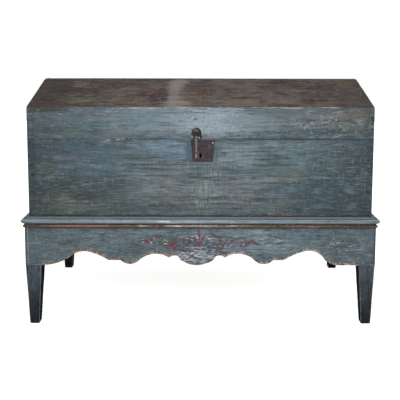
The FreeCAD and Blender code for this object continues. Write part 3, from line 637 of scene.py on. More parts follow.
    def leave_bare(self, brush: Brushwork, roughness: object, streak: object, fine: object) -> object:
        """Keeps the paint to its own faces and shows plain aged wood elsewhere.

        Args:
            brush: the finish being built.
            roughness: the paint's roughness.
            streak: the streak variation, read as the wood's grain.
            fine: the finer variation.

        Returns:
            The roughness of the whole board.
        """
        wood = brush.cover(pigment(self.bare), pigment((92, 68, 48)), brush.ease(streak, 0.44, 0.62, 0.8))
        wood = brush.cover(wood, pigment((70, 52, 40)), brush.ease(fine, 0.46, 0.34, 0.6))
        mask: object = brush.ease(brush.carried("underside"), 1.0, 0.85) if self.lined else 0.0
        for axis, place in self.painted:
            away = brush.absolute(brush.minus(brush.axes[axis], place))
            mask = brush.figure("MAXIMUM", mask, brush.ease(away, 0.0011, 0.0008))
        brush.colour = brush.cover(wood, brush.colour, mask)
        return brush.figure("MAXIMUM", roughness, 0.62)


@dataclass(frozen=True)
class BareWood:
    """Unpainted softwood, browned by age: rings along the grain, dark pores and dust."""

    name: str
    grain: Grain
    body: Tone = (128, 100, 74)
    dark: Tone = (82, 60, 44)
    dust: Tone = (150, 136, 116)

    def make(self) -> bpy.types.Material:
        """Builds the finish from stretched clouds.

        Returns:
            The material.
        """
        brush = Brushwork(self.name)
        ring = brush.cloud(self.grain.scales(3.0, 60.0), 5.0, 0.6)
        pore = brush.cloud(self.grain.scales(20.0, 420.0), 4.0)
        dust = brush.cloud((9.0, 9.0, 9.0), 5.0, 0.65)
        brush.colour = pigment(self.body)
        brush.lay(self.dark, brush.ease(ring, 0.46, 0.62, 0.85))
        brush.lay(self.dark, brush.ease(pore, 0.46, 0.34, 0.7))
        brush.lay(self.dust, brush.ease(dust, 0.46, 0.76, 0.2))
        brush.relief(brush.plus(ring, brush.times(pore, 0.6)), 0.0016, 0.5)
        return brush.finish(brush.line(ring, 0.2, 0.75), 0.0, 0.08)


@dataclass(frozen=True)
class WroughtIron:
    """Hand-forged iron with a rusted skin: scale, rust blooms, bright rubbed edges, hammer marks."""

    name: str
    body: Tone = (66, 58, 62)
    dark: Tone = (34, 30, 34)
    rust: Tone = (104, 64, 50)
    worn: Tone = (146, 140, 138)
    rust_share: float = 0.5
    worn_share: float = 0.35
    spots: tuple[Patch, ...] = ()

    def make(self) -> bpy.types.Material:
        """Builds the finish, with its spots placed across the front.

        Returns:
            The material.
        """
        brush = Brushwork(self.name)
        blow = brush.cloud((90.0, 90.0, 90.0), 2.0)
        bloom = brush.cloud((60.0, 60.0, 45.0), 5.0, 0.65)
        scale = brush.cloud((420.0, 420.0, 420.0), 4.0, 0.6)
        rubbed = brush.cloud((130.0, 130.0, 60.0), 4.0, 0.6)
        brush.colour = pigment(self.body)
        brush.lay(self.dark, brush.ease(blow, 0.52, 0.36, 0.85))
        brush.lay(self.rust, brush.ease(bloom, 0.47, 0.62, self.rust_share + 0.3))
        brush.lay(self.dark, brush.ease(scale, 0.45, 0.32, 0.6))
        brush.lay(self.worn, brush.ease(rubbed, 0.52, 0.68, self.worn_share))
        ragged = brush.line(scale, 2.0, -1.0)
        for spot in self.spots:
            away = brush.plus(brush.reach(spot.centre, spot.size, Face.FRONT.value), ragged)
            brush.lay(spot.tone, brush.ease(away, 1.2, 0.5, spot.strength))
        edge = brush.times(brush.carried("arris"), brush.plus(rubbed, 0.4))
        brush.lay(self.worn, brush.ease(edge, 0.55, 0.95, 0.75))
        brush.relief(brush.plus(blow, brush.times(scale, 0.35)), 0.003, 0.5)
        return brush.finish(brush.line(bloom, 0.4, 0.42), 0.1, 0.18)


class Waver:
    """Smooth unevenness of hand work, between 0 and 1.

    The value is one half plus a sum of sine waves over the given coordinates, each with its own
    direction, length and phase drawn from a seeded generator, divided by their number's root.
    """

    def __init__(self, seed: int, lengths: Sequence[float], waves: int = 14) -> None:
        """Draws the waves.

        Args:
            seed: the generator's seed.
            lengths: a typical wavelength for each coordinate.
            waves: how many waves are summed.
        """
        draw = np.random.default_rng(seed)
        self.pace = draw.normal(size=(waves, len(lengths))) * (2.0 * math.pi / np.array(lengths))
        self.phase = draw.uniform(0.0, 2.0 * math.pi, waves)

    def at(self, *places: np.ndarray) -> np.ndarray:
        """The value at arrays of coordinates, all of one shape.

        Args:
            places: one array for each coordinate.

        Returns:
            The values.
        """
        together = np.stack(np.broadcast_arrays(*places), -1)
        waves = np.sin(together @ self.pace.T + self.phase)
        return np.clip(0.5 + waves.sum(-1) / (2.2 * math.sqrt(len(self.phase))), 0.0, 1.0)


def nicks(seed: int, places: np.ndarray, count: int, size: Pair, depth: Pair) -> np.ndarray:
    """Knocks along an edge: the deepest of several bell curves at random places.

    Args:
        seed: the generator's seed.
        places: the coordinate along the edge.
        count: how many knocks.
        size: least and greatest half length of one.
        depth: least and greatest depth of one.

    Returns:
        The depth at each place.
    """
    draw = np.random.default_rng(seed)
    centre = draw.uniform(places.min(), places.max(), count)
    half = draw.uniform(size[0], size[1], count)
    deep = draw.uniform(depth[0], depth[1], count)
    return (deep * np.exp(-((places[..., None] - centre) / half) ** 2)).max(-1)


def rounded_loops(corners: np.ndarray, radii: np.ndarray, arcs: Sequence[int],
                  sides: Sequence[Sequence[float]]) -> tuple[np.ndarray, np.ndarray]:
    """Closed outlines with rounded corners, one for each station.

    Each corner becomes a circular arc tangent to its two sides, and each side gets points at the
    given shares of its straight part. The second result is 1 on the arcs and falls to 0 along the
    first points of the sides.

    Args:
        corners: (stations, corners, 2) places of the sharp corners.
        radii: (stations, corners) radius of each.
        arcs: points on each arc; one keeps the corner sharp.
        sides: shares along the side after each corner.

    Returns:
        The loops, (stations, points, 2), and the closeness to a rounded arris, (points,).
    """
    before = corners - np.roll(corners, 1, axis=1)
    after = np.roll(corners, -1, axis=1) - corners
    long_before = np.linalg.norm(before, axis=2)
    long_after = np.linalg.norm(after, axis=2)
    before = before / long_before[..., None]
    after = after / long_after[..., None]
    crossed = before[..., 0] * after[..., 1] - before[..., 1] * after[..., 0]
    turn = np.arctan2(crossed, (before * after).sum(-1))
    most = 0.45 * np.minimum(long_before, long_after) / np.maximum(np.tan(np.abs(turn) / 2.0), 1e-6)
    radius = np.minimum(radii, most)
    first = corners - before * (radius * np.tan(np.abs(turn) / 2.0))[..., None]
    inward = np.stack([-before[..., 1], before[..., 0]], -1) * np.sign(turn)[..., None]
    pieces: list[np.ndarray] = []
    near: list[np.ndarray] = []
    ends: list[tuple[np.ndarray, np.ndarray]] = []
    for index, count in enumerate(arcs):
        if count == 1:
            bow = corners[:, index:index + 1]
        else:
            angle = np.abs(turn[:, index, None]) * np.linspace(0.0, 1.0, count)
            r = radius[:, index, None]
            bow = (first[:, index, None] + before[:, index, None] * (r * np.sin(angle))[..., None]
                   + inward[:, index, None] * (r * (1.0 - np.cos(angle)))[..., None])
        ends.append((bow[:, 0], bow[:, -1]))
        pieces.append(bow)
        near.append(np.full(count, 0.0 if count == 1 else 1.0))
    loops: list[np.ndarray] = []
    marks: list[np.ndarray] = []
    for index, shares in enumerate(sides):
        loops.append(pieces[index])
        marks.append(near[index])
        if len(shares):
            start = ends[index][1][:, None]
            stop = ends[(index + 1) % len(sides)][0][:, None]
            share = np.array(shares)[None, :, None]
            loops.append(start + (stop - start) * share)
            marks.append(np.zeros(len(shares)))
    return np.concatenate(loops, axis=1), np.concatenate(marks)


def pressed(loops: np.ndarray, depth: np.ndarray) -> np.ndarray:
    """Loops moved inwards, square to their own line.

    The inward direction is the line's tangent, by the points on either side, turned a quarter.

    Args:
        loops: (stations, points, 2).
        depth: (stations, points).

    Returns:
        The moved loops.
    """
    along = np.roll(loops, -1, axis=1) - np.roll(loops, 1, axis=1)
    along = along / np.maximum(np.linalg.norm(along, axis=2, keepdims=True), 1e-9)
    inward = np.stack([-along[..., 1], along[..., 0]], -1)
    ahead = np.roll(loops, -1, axis=1)
    area = (loops[..., 0] * ahead[..., 1] - loops[..., 1] * ahead[..., 0]).sum(1)
    return loops + inward * (depth * np.sign(area)[:, None])[..., None]


def spread(count: int) -> list[float]:
    """Even shares strictly between 0 and 1."""
    return [float(v) for v in np.linspace(0.0, 1.0, count + 2)[1:-1]]


def close_in(count: int, edge: float) -> list[float]:
    """Shares between 0 and 1 with one extra point near each end."""
    return [edge] + [float(v) for v in np.linspace(edge, 1.0 - edge, count + 2)[1:-1]] + [1.0 - edge]


class Skin:
    """Gathers grids of points into one closed surface."""

    def __init__(self) -> None:
        """Starts with no points."""
        self.points: list[np.ndarray] = []
        self.quads: list[np.ndarray] = []
        self.caps: list[np.ndarray] = []
        self.marks: dict[str, list[np.ndarray]] = {}
        self.count = 0

    def tube(self, grid: np.ndarray, **marks: np.ndarray) -> None:
        """Adds a tube: rows of closed loops, joined in order and closed at both ends.

        Args:
            grid: (rows, points, 3).
            marks: numbers carried by the points, of the same names for every tube of a skin.
        """
        rows, around = grid.shape[:2]
        index = np.arange(rows * around).reshape(rows, around)
        a, b = index[:-1], index[1:]
        quads = np.stack([a, np.roll(a, -1, 1), np.roll(b, -1, 1), b], -1).reshape(-1, 4)
        caps = [index[0][::-1], index[-1]]
        flat = grid.reshape(-1, 3)
        if self.volume_of(flat, quads, caps) < 0.0:
            quads = quads[:, ::-1]
            caps = [cap[::-1] for cap in caps]
        self.quads.append(quads + self.count)
        self.caps += [cap + self.count for cap in caps]
        self.points.append(flat)
        for name, mark in marks.items():
            self.marks.setdefault(name, []).append(np.broadcast_to(mark, (rows, around)).ravel())
        self.count += rows * around

    @staticmethod
    def volume_of(flat: np.ndarray, quads: np.ndarray, caps: list[np.ndarray]) -> float:
        """Signed volume by tetrahedra from the middle: positive where the faces point outwards.

        Args:
            flat: the points.
            quads: the faces along the tube.
            caps: the faces at its ends.

        Returns:
            The volume.
        """
        p = flat - flat.mean(0)
        total = 0.0
        for x, y, z in ((0, 1, 2), (0, 2, 3)):
            crossed = np.cross(p[quads[:, y]], p[quads[:, z]])
            total += float(np.einsum("ij,ij->i", p[quads[:, x]], crossed).sum())
        for cap in caps:
            ring = p[cap]
            crossed = np.cross(ring, np.roll(ring, -1, 0))
            total += float(np.einsum("j,ij->i", ring.mean(0), crossed).sum())
        return total

    def make(self, name: str, finish: bpy.types.Material, body: str, slot: str,
             stands_for: Sequence[str] = (), sharp: float = 50.0) -> None:
        """Makes the object, smooth but for its sharp edges, and hands it to its body.

        Args:
            name: the piece's name.
            finish: its material.
            body: the CAD body that it rides on.
            slot: the record's material slot; not used.
            stands_for: CAD nodes that it replaces.
            sharp: the angle in degrees past which an edge stays sharp.
        """
        mesh = bpy.data.meshes.new(name)
        points = np.concatenate(self.points)
        faces = np.concatenate(self.quads).tolist() + [cap.tolist() for cap in self.caps]
        mesh.from_pydata(points.tolist(), [], faces)
        for label, parts in self.marks.items():
            layer = mesh.attributes.new(label, "FLOAT", "POINT")
            layer.data.foreach_set("value", np.concatenate(parts).astype(np.float32))
        mesh.shade_smooth()
        mesh.set_sharp_from_angle(angle=math.radians(sharp))
        mesh.materials.append(finish)
        mesh.update()
        piece = bpy.data.objects.new(name, mesh)
        bpy.context.scene.collection.objects.link(piece)
        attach(piece, body)
        if stands_for:
            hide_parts(*stands_for)
        LOG.info("%s: %d points, %d faces, on %s", name, len(points), len(faces), body)


def dress(finish: bpy.types.Material, *nodes: str) -> None:
    """Gives CAD nodes their finish in every material slot.

    Args:
        finish: the material.
        nodes: the nodes' names.
    """
    for node in nodes:
        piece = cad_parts[node]
        if not piece.material_slots:
            piece.data.materials.append(finish)
        for held in piece.material_slots:
            held.material = finish
        LOG.info("%s: dressed in %s", node, finish.name)


@dataclass(frozen=True)
class Stroke:
    """One brush stroke: points (x, z) along it on the apron's face, and its half width."""

    points: tuple[Pair, ...]
    half: float

    def depth(self, x: np.ndarray, z: np.ndarray) -> np.ndarray:
        """Half width less the distance to the stroke's line, in millimetres.

        The distance to each straight part is that to the nearest point of it, and the least counts.

        Args:
            x: places across.
            z: heights.

        Returns:
            The depth inside the stroke, negative outside.
        """
        line = np.array(self.points)
        a = line[:-1]
        d = line[1:] - a
        gap = np.stack([x, z], -1)[..., None, :] - a
        share = np.clip((gap * d).sum(-1) / np.maximum((d * d).sum(-1), 1e-12), 0.0, 1.0)
        away = np.linalg.norm(gap - share[..., None] * d, axis=-1).min(-1)
        return (self.half - away) * 1000.0


RED_STROKES = each(Stroke,
    (((-0.0062, 0.3434), (-0.0055, 0.3133), (-0.0019, 0.2789)), 0.0034),
    (((-0.0236, 0.3166), (-0.0125, 0.3019), (-0.0029, 0.2839)), 0.0022),
    (((-0.0236, 0.2953), (-0.0125, 0.2888), (-0.0029, 0.2806)), 0.0022),
    (((0.0152, 0.3205), (0.005, 0.3101), (-0.0029, 0.2953)), 0.0025),
    (((0.0225, 0.3108), (0.0368, 0.3199), (0.0575, 0.3206)), 0.0022),
    (((0.0671, 0.3184), (0.0725, 0.3053), (0.065, 0.2905), (0.0727, 0.2791), (0.0674, 0.2561)), 0.0028),
    (((0.0736, 0.2824), (0.0831, 0.2938), (0.0927, 0.2978)), 0.0019),
    (((0.0864, 0.284), (0.0927, 0.2889), (0.1007, 0.2906)), 0.0017),
    (((0.1007, 0.2939), (0.1117, 0.307), (0.1244, 0.3119), (0.1387, 0.3136)), 0.0019),
    (((0.1422, 0.2867), (0.1446, 0.2956), (0.1554, 0.2999), (0.1644, 0.2946), (0.1597, 0.2868),
      (0.1485, 0.2848), (0.1422, 0.2867)), 0.0019),
    (((0.1483, 0.3162), (0.1579, 0.3087), (0.1675, 0.2999)), 0.0019),
    (((0.1644, 0.294), (0.1786, 0.3055), (0.1995, 0.2941)), 0.0022),
    (((0.1643, 0.3022), (0.1802, 0.3032)), 0.0021),
    (((-0.193, 0.3064), (-0.1829, 0.2993), (-0.1622, 0.2973)), 0.0025),
    (((-0.1909, 0.2983), (-0.1781, 0.3048)), 0.0019),
    (((-0.174, 0.3016), (-0.1701, 0.3124), (-0.1541, 0.3196), (-0.1382, 0.319), (-0.1192, 0.3027),
      (-0.1049, 0.2919)), 0.0019),
    (((-0.0874, 0.2739), (-0.1033, 0.282), (-0.1186, 0.2886)), 0.0023),
    (((-0.0874, 0.2739), (-0.0985, 0.2853), (-0.1103, 0.2942)), 0.0023),
    (((-0.0874, 0.2745), (-0.0937, 0.2886), (-0.1017, 0.3027)), 0.0023),
    (((-0.0858, 0.2739), (-0.089, 0.287), (-0.0937, 0.3066)), 0.0022),
    (((-0.0848, 0.2739), (-0.0858, 0.2935)), 0.0019),
    (((-0.0826, 0.2739), (-0.0555, 0.2713), (-0.022, 0.2668)), 0.0023),
    (((-0.0587, 0.31), (-0.0564, 0.2962), (-0.0475, 0.291), (-0.0389, 0.2976), (-0.0364, 0.3084),
      (-0.0475, 0.3106)), 0.0018),
    (((-0.0427, 0.3165), (-0.0236, 0.3133)), 0.0016),
    (((0.025, 0.2985), (0.0262, 0.2988)), 0.002),
    (((0.043, 0.2955), (0.044, 0.295)), 0.002),
    (((0.046, 0.276), (0.0475, 0.2757)), 0.0018),
    (((-0.215, 0.299), (-0.213, 0.2985)), 0.0018),
    (((-0.206, 0.304), (-0.204, 0.303)), 0.0018))


@dataclass(frozen=True)
class Arch:
    """One half of the scalloped edge, in distances from the pattern's centre and heights.

    The great arch starts at the shoulder and is highest at the crown, and bows says how far its
    inner and outer sides stand off their chords. outer is where the edge comes down to the leg
    line. ogee is the last curve's run and the height where it starts, and belly the run from that
    start to its belly and the belly's height.
    """

    shoulder: Pair
    crown: Pair
    bows: Pair
    outer: float
    ogee: Pair
    belly: Pair

    def runs(self) -> list[tuple[Pair, Pair, Pair]]:
        """Start, middle and end of each arc or line, from the centre outwards.

        The round lobe in the middle is followed by a slanting step, two small arches with a drop
        between them, a short flat, the great arch and the ogee.

        Returns:
            The three points of each.
        """
        lobe, step, notch = (0.058, 0.019), (0.067, 0.032), (0.098, 0.027)
        drop, flat = (0.205, 0.015), (0.268, 0.018)
        radius = (lobe[0] ** 2 + lobe[1] ** 2) / (2 * lobe[1])
        quarter = (lobe[0] / 2, radius - math.sqrt(radius ** 2 - (lobe[0] / 2) ** 2))
        end = (self.outer - self.ogee[0], self.ogee[1])
        return [
            ((0.0, 0.0), quarter, lobe),
            (lobe, (0.0625, 0.0255), step),
            (step, (0.078, 0.0345), notch),
            (notch, (0.15, 0.0405), drop),
            (drop, (0.236, 0.0035), flat),
            (flat, (0.287, 0.018), self.shoulder),
            (self.shoulder, self.bowed(self.shoulder, self.crown, self.bows[0]), self.crown),
            (self.crown, self.bowed(self.crown, end, self.bows[1]), end),
            (end, (end[0] + self.belly[0], self.belly[1]), (self.outer, 0.0)),
        ]

    def heights(self, d: np.ndarray) -> np.ndarray:
        """Heights at distances d from the centre, 0 outside the curves.

        Args:
            d: the distances.

        Returns:
            The heights.
        """
        height = np.zeros_like(d)
        for start, middle, stop in self.runs():
            inside = (d >= start[0]) & (d < stop[0])
            height = np.where(inside, self.through(d, start, middle, stop), height)
        return height

    @staticmethod
    def bowed(start: Pair, end: Pair, bow: float) -> Pair:
        """The middle of an arc that stands off its chord by bow times half the chord.

        Args:
            start: the arc's start.
            end: its end.
            bow: how far it stands off.

        Returns:
            The middle.
        """
        across = (end[0] - start[0]) / 2.0
        up = (end[1] - start[1]) / 2.0
        return (start[0] + across - bow * up, start[1] + up + bow * across)

    @staticmethod
    def through(d: np.ndarray, start: Pair, middle: Pair, end: Pair) -> np.ndarray:
        """Heights at distances d on the circle, or the line, through three points.

        Of the circle's two heights, it gives the one on the middle point's side of its centre.

        Args:
            d: the distances.
            start: the first point.
            middle: the middle one.
            end: the last one.

        Returns:
            The heights.
        """
        (x0, z0), (x1, z1), (x2, z2) = start, middle, end
        twice = 2.0 * (x0 * (z1 - z2) + x1 * (z2 - z0) + x2 * (z0 - z1))
        if abs(twice) < 1e-7:
            return z0 + (z2 - z0) * (d - x0) / (x2 - x0)
        s0, s1, s2 = x0 ** 2 + z0 ** 2, x1 ** 2 + z1 ** 2, x2 ** 2 + z2 ** 2
        cx = (s0 * (z1 - z2) + s1 * (z2 - z0) + s2 * (z0 - z1)) / twice
        cz = (s0 * (x2 - x1) + s1 * (x0 - x2) + s2 * (x1 - x0)) / twice
        rise = np.sqrt(np.maximum((x0 - cx) ** 2 + (z0 - cz) ** 2 - (d - cx) ** 2, 0.0))
        return cz + rise * math.copysign(1.0, z1 - cz)


@dataclass
class Stand:
    """The joined stand: a scalloped front apron, three plainer ones, four tapered legs."""

    top: float = side_of("apron_front", 2, True)
    leg_line: float = side_of("leg_pegs", 2, False) - PEG_RISE
    face: float = side_of("apron_front", 1, False)
    half_width: float = side_of("apron_front", 0, True)
    pattern: float = -0.012
    foot_width: float = 0.034
    leg_width: float = 0.056
    leg_taper: float = 0.008
    sole_bevel: float = 0.0025
    sooty: tuple[Pair, ...] = ((-0.53, -0.44), (-0.34, -0.24), (-0.215, -0.18), (0.19, 0.25),
                              (0.4, 0.545))

    @property
    def inner_edge(self) -> float:
        """Distance from the middle to the front legs' inner sides."""
        return self.half_width - self.leg_width

    @property
    def arches(self) -> tuple[Arch, Arch]:
        """The left and the right half of the scallop, which differ in their great arches.

        Returns:
            The two halves.
        """
        left_end = self.inner_edge + self.pattern - 0.02
        right_end = self.inner_edge - self.pattern - 0.082
        left = Arch((0.311, 0.018), (0.39, 0.05), (0.09, 0.19), left_end, (0.077, 0.027), (0.03, 0.0118))
        right = Arch((0.306, 0.018), (0.39, 0.0525), (0.11, 0.27), right_end, (0.037, 0.018), (0.015, 0.008))
        return left, right

    def stations(self) -> np.ndarray:
        """Places across the front apron, close together under the ornament and at every break.

        Returns:
            The places, in rising order.
        """
        left, right = ([run[2][0] for run in arch.runs()] for arch in self.arches)
        fine = np.arange(-0.226, 0.2161, 0.0017)
        ends = np.arange(0.0, self.half_width, 0.004)
        breaks = (self.pattern - np.array(left), self.pattern + np.array(right))
        edge = np.array([-self.half_width, self.half_width, -self.inner_edge, self.inner_edge])
        return np.unique(np.round(np.concatenate([fine, ends, -ends, *breaks, edge]), 5))

    def front_apron(self, finish: bpy.types.Material) -> None:
        """Makes the front board: an upright section carried across, its foot following the scallop.

        Each station's section has corners at the top and at the scallop's height, front and back.
        The lower front arris is rounded most, unevenly, and the face is pressed in by a fraction
        of a millimetre of planing marks.

        Args:
            finish: the board's material.
        """
        x = self.stations()
        left, right = self.arches
        out = x - self.pattern
        low = self.leg_line + np.where(out < 0.0, left.heights(-out), right.heights(out))
        n = len(x)
        corners = np.zeros((n, 4, 2))
        corners[:, :, 0] = np.array([self.face, self.face, self.face + BOARD, self.face + BOARD])
        corners[:, (0, 3), 1] = self.top
        corners[:, (1, 2), 1] = low[:, None]
        wear = Waver(11, (0.05,)).at(x) * 0.0016 + nicks(5, x, 46, (0.003, 0.012), (0.0005, 0.0024))
        open_edge = np.clip((self.inner_edge - np.abs(x)) / 0.006, 0.0, 1.0)
        upper, lower_back = np.full(n, 0.0008), np.full(n, 0.0012)
        radii = np.stack([upper, 0.0002 + (0.0008 + wear) * open_edge, lower_back, upper], 1)
        sides = (spread(74), spread(3), spread(8), spread(2))
        loops, near = rounded_loops(corners, radii, (2, 5, 3, 2), sides)
        height = loops[..., 1]
        across = np.broadcast_to(x[:, None], height.shape)
        loops = pressed(loops, 0.00012 + 0.00045 * Waver(3, (0.24, 0.03)).at(across, height))
        grid = np.stack([across, loops[..., 0], loops[..., 1]], -1)
        red = np.stack([stroke.depth(across, height) for stroke in RED_STROKES]).max(0)
        front = loops[..., 0] < self.face + 0.003
        worn = open_edge * (1.0 - 0.75 * np.exp(-((x - self.pattern) / 0.062) ** 4))
        soot = np.zeros(n)
        for start, end in self.sooty:
            soot = np.maximum(soot, np.clip(np.minimum(x - start, end - x) / 0.012 + 0.5, 0.0, 1.0))
        skin = Skin()
        skin.tube(grid, arris=near * (height < low[:, None] + 0.02) * open_edge[:, None] * 0.6,
                  edge_wear=worn[:, None], edge_gap=np.clip((height - low[:, None]) * 1000.0, 0.0, 60.0),
                  edge_soot=(0.25 + 0.75 * soot)[:, None],
                  red_strokes=np.where(front, np.clip(red, -9.0, 9.0), -9.0))
        skin.make("scalloped_apron", finish, "case", "painted_wood", ("apron_front",))

    def leg(self, name: str, side: float, back: bool, finish: bpy.types.Material) -> None:
        """Makes one leg: a rounded square that narrows to the sole, and the square post above it.

        The section's outer corner leans in by the taper and its width falls evenly from the leg
        line to the floor. Its arrises are rounded unevenly by wear, and knocked here and there.

        Args:
            name: the CAD node that it stands for.
            side: 1 for the right side, -1 for the left.
            back: a back leg.
            finish: the leg's material.
        """
        z = np.concatenate([[0.0], np.linspace(self.sole_bevel, self.leg_line, 61)])
        share = z / self.leg_line
        bevel = np.where(z < self.sole_bevel * 0.5, self.sole_bevel, 0.0)
        outer_x = self.half_width - self.leg_taper * (1.0 - share) - bevel
        width = self.foot_width + (self.leg_width - self.foot_width) * share - 2.0 * bevel
        outer_y = self.face + self.leg_taper * (1.0 - share) + bevel
        square = np.array([[0.0, 0.0], [-1.0, 0.0], [-1.0, 1.0], [0.0, 1.0]])
        corners = np.stack([outer_x, outer_y], -1)[:, None] + square * width[:, None, None]
        seed = 20 + int(side > 0) + 2 * int(back)
        rough = Waver(seed, (0.05, 1.0)).at(z[:, None], np.arange(4.0)[None])
        knocks = nicks(seed + 9, z, 7, (0.004, 0.012), (0.0004, 0.0016))[:, None]
        radii = 0.0006 + 0.0008 * rough + knocks
        loops, near = rounded_loops(corners, radii, (5, 5, 5, 5), [close_in(3, 0.1)] * 4)
        high = np.broadcast_to(z[:, None], loops.shape[:2])
        wave = Waver(seed + 40, (0.12, 0.02, 0.02)).at(high, loops[..., 0], loops[..., 1])
        loops = pressed(loops, 0.0001 + 0.0005 * wave * (z > 0.001)[:, None])
        lower = np.stack([loops[..., 0], loops[..., 1], high], -1)
        xs, ys = (self.half_width - BOARD, self.inner_edge), (self.face + BOARD, self.face + self.leg_width)
        post = np.array([[[xs[0], ys[0], level], [xs[1], ys[0], level], [xs[1], ys[1], level],
                          [xs[0], ys[1], level]] for level in (self.leg_line - 0.0001, self.top)])
        # the inner sides are marked shaded and carry painted shade, which also stands for some dark paint
        # there; the post above is in full painted shade
        inner_x = (outer_x - width)[:, None] + 0.0008 - loops[..., 0]
        inner_y = loops[..., 1] - (outer_y + width)[:, None] + 0.0008
        hidden = np.clip(np.maximum(inner_x, inner_y) / 0.0006, 0.0, 1.0)
        middle = (side_of("case_front", 1, False) + side_of("case_back", 1, True)) / 2.0
        skin = Skin()
        for grid, mark, shade in ((lower, near, hidden), (post, np.zeros(4), np.ones((2, 4)))):
            grid[..., 0] *= side
            if back:
                grid[..., 1] = 2.0 * middle - grid[..., 1]
            skin.tube(grid, arris=mark, shaded=shade)
        skin.make("worn_" + name, finish, "case", "painted_wood", (name,))

    def build(self) -> None:
        """Makes and dresses the whole stand."""
        apron = AgedPaint(
            "aged_paint_front_apron", body=(84, 97, 102), light=(134, 146, 152), warm=(84, 94, 90),
            ornament=True, rub_tone=(150, 142, 138), wood=(140, 98, 76), contrast=1.15,
            patches=each(Patch,
                ((-0.001, 0.25), (0.084, 0.03), (132, 138, 148), 0.7),
                ((-0.012, 0.322), (0.063, 0.0144), (138, 148, 152), 0.6),
                ((0.202, 0.329), (0.049, 0.018), (144, 158, 163), 0.6),
                ((-0.317, 0.271), (0.14, 0.0217), (70, 84, 91), 0.55),
                ((-0.544, 0.321), (0.063, 0.0288), (76, 87, 91), 0.5),
                ((-0.48, 0.29), (0.08, 0.02), (84, 90, 82), 0.5),
                ((0.121, 0.34), (0.07, 0.0072), (96, 130, 118), 0.45),
                ((-0.176, 0.339), (0.07, 0.0072), (100, 130, 115), 0.4),
                ((0.36, 0.3), (0.12, 0.03), (96, 114, 122), 0.5),
                ((0.5, 0.31), (0.13, 0.06), (72, 83, 87), 0.5),
                ((0.07, 0.334), (0.24, 0.016), (116, 130, 133), 0.6),
                ((0.19, 0.285), (0.11, 0.032), (120, 134, 140), 0.6),
                ((-0.27, 0.31), (0.16, 0.03), (100, 113, 118), 0.45),
                ((-0.59, 0.335), (0.06, 0.018), (62, 70, 72), 0.5),
                ((-0.59, self.leg_line), (0.05, 0.05), (66, 76, 79), 0.75),
                ((0.59, self.leg_line), (0.05, 0.05), (64, 76, 82), 0.75)),
            bands=each(Band,
                # painted shadow under the bead
                (2, self.top - 0.012, 0.008, (48, 56, 60), 0.75),
                (0, -self.half_width, 0.006, (50, 54, 56), 0.8, 1.0),
                (0, self.half_width, 0.008, (44, 48, 54), 0.8, 1.0),
                # painted highlight on the left corner's chamfer
                (0, 0.01 - self.half_width, 0.003, (116, 124, 127), 0.5, 1.5)),
            scuffs=each(Scuff,
                ((-0.008, 0.252), (0.094, 0.04), (50, 52, 60), 0.85, 0.52, (55.0, 210.0)),
                ((-0.008, 0.252), (0.094, 0.042), (182, 183, 188), 0.75, 0.55, (60.0, 230.0)),
                ((-0.005, 0.3), (0.2, 0.036), (58, 58, 66), 0.6, 0.59, (70.0, 150.0)),
                ((-0.005, 0.296), (0.2, 0.036), (134, 104, 110), 0.45, 0.57, (90.0, 150.0)),
                ((-0.02, 0.312), (0.085, 0.022), (186, 186, 184), 0.75, 0.6, (60.0, 170.0)),
                ((-0.15, 0.306), (0.07, 0.024), (178, 178, 172), 0.75, 0.63, (60.0, 160.0)),
                ((0.11, 0.3), (0.11, 0.03), (160, 170, 176), 0.65, 0.62, (60.0, 150.0)),
                ((0.23, 0.312), (0.07, 0.03), (168, 178, 184), 0.55, 0.6, (40.0, 150.0)),
                ((-0.52, 0.3), (0.07, 0.02), (140, 148, 150), 0.6, 0.62, (90.0, 140.0)),
                ((0.5, 0.29), (0.11, 0.03), (150, 160, 164), 0.55, 0.62, (60.0, 140.0))),
        ).make()
        ends = AgedPaint(
            "aged_paint_side_aprons", Grain.INWARD, Face.END, body=(70, 80, 83), rub_tone=(140, 112, 90),
            # painted shadow under the bead
            bands=(Band(2, self.top - 0.012, 0.01, (44, 52, 58), 0.6),),
        ).make()
        legs = AgedPaint(
            "aged_paint_legs", Grain.UPRIGHT, body=(74, 84, 87), light=(108, 118, 123), dark=(38, 42, 45),
            cool=(68, 80, 87), warm=(76, 81, 75), flakes=0.2, rub_tone=(104, 108, 108), wood=(122, 124, 122),
            # foot_shade and shaded paint shade into the legs' colour
            foot_shade=0.95, shade_top=self.leg_line, shaded=0.95, contrast=1.3, gloss=0.0,
            bands=(Band(2, 0.0012, 0.0022, (104, 106, 106), 0.7, 0.8),),
        ).make()
        self.front_apron(apron)
        dress(ends, "apron_left", "apron_right", "apron_back")
        for across, side in (("left", -1.0), ("right", 1.0)):
            self.leg("leg_front_" + across, side, False, legs)
            self.leg("leg_back_" + across, side, True, legs)
        dress(AgedPaint("aged_paint_pegs", body=(78, 90, 92), dark=(40, 46, 48)).make(), "leg_pegs")
        dress(BareWood("bare_wood_bearers", Grain.INWARD).make(), "bearer_1", "bearer_2", "bearer_3")


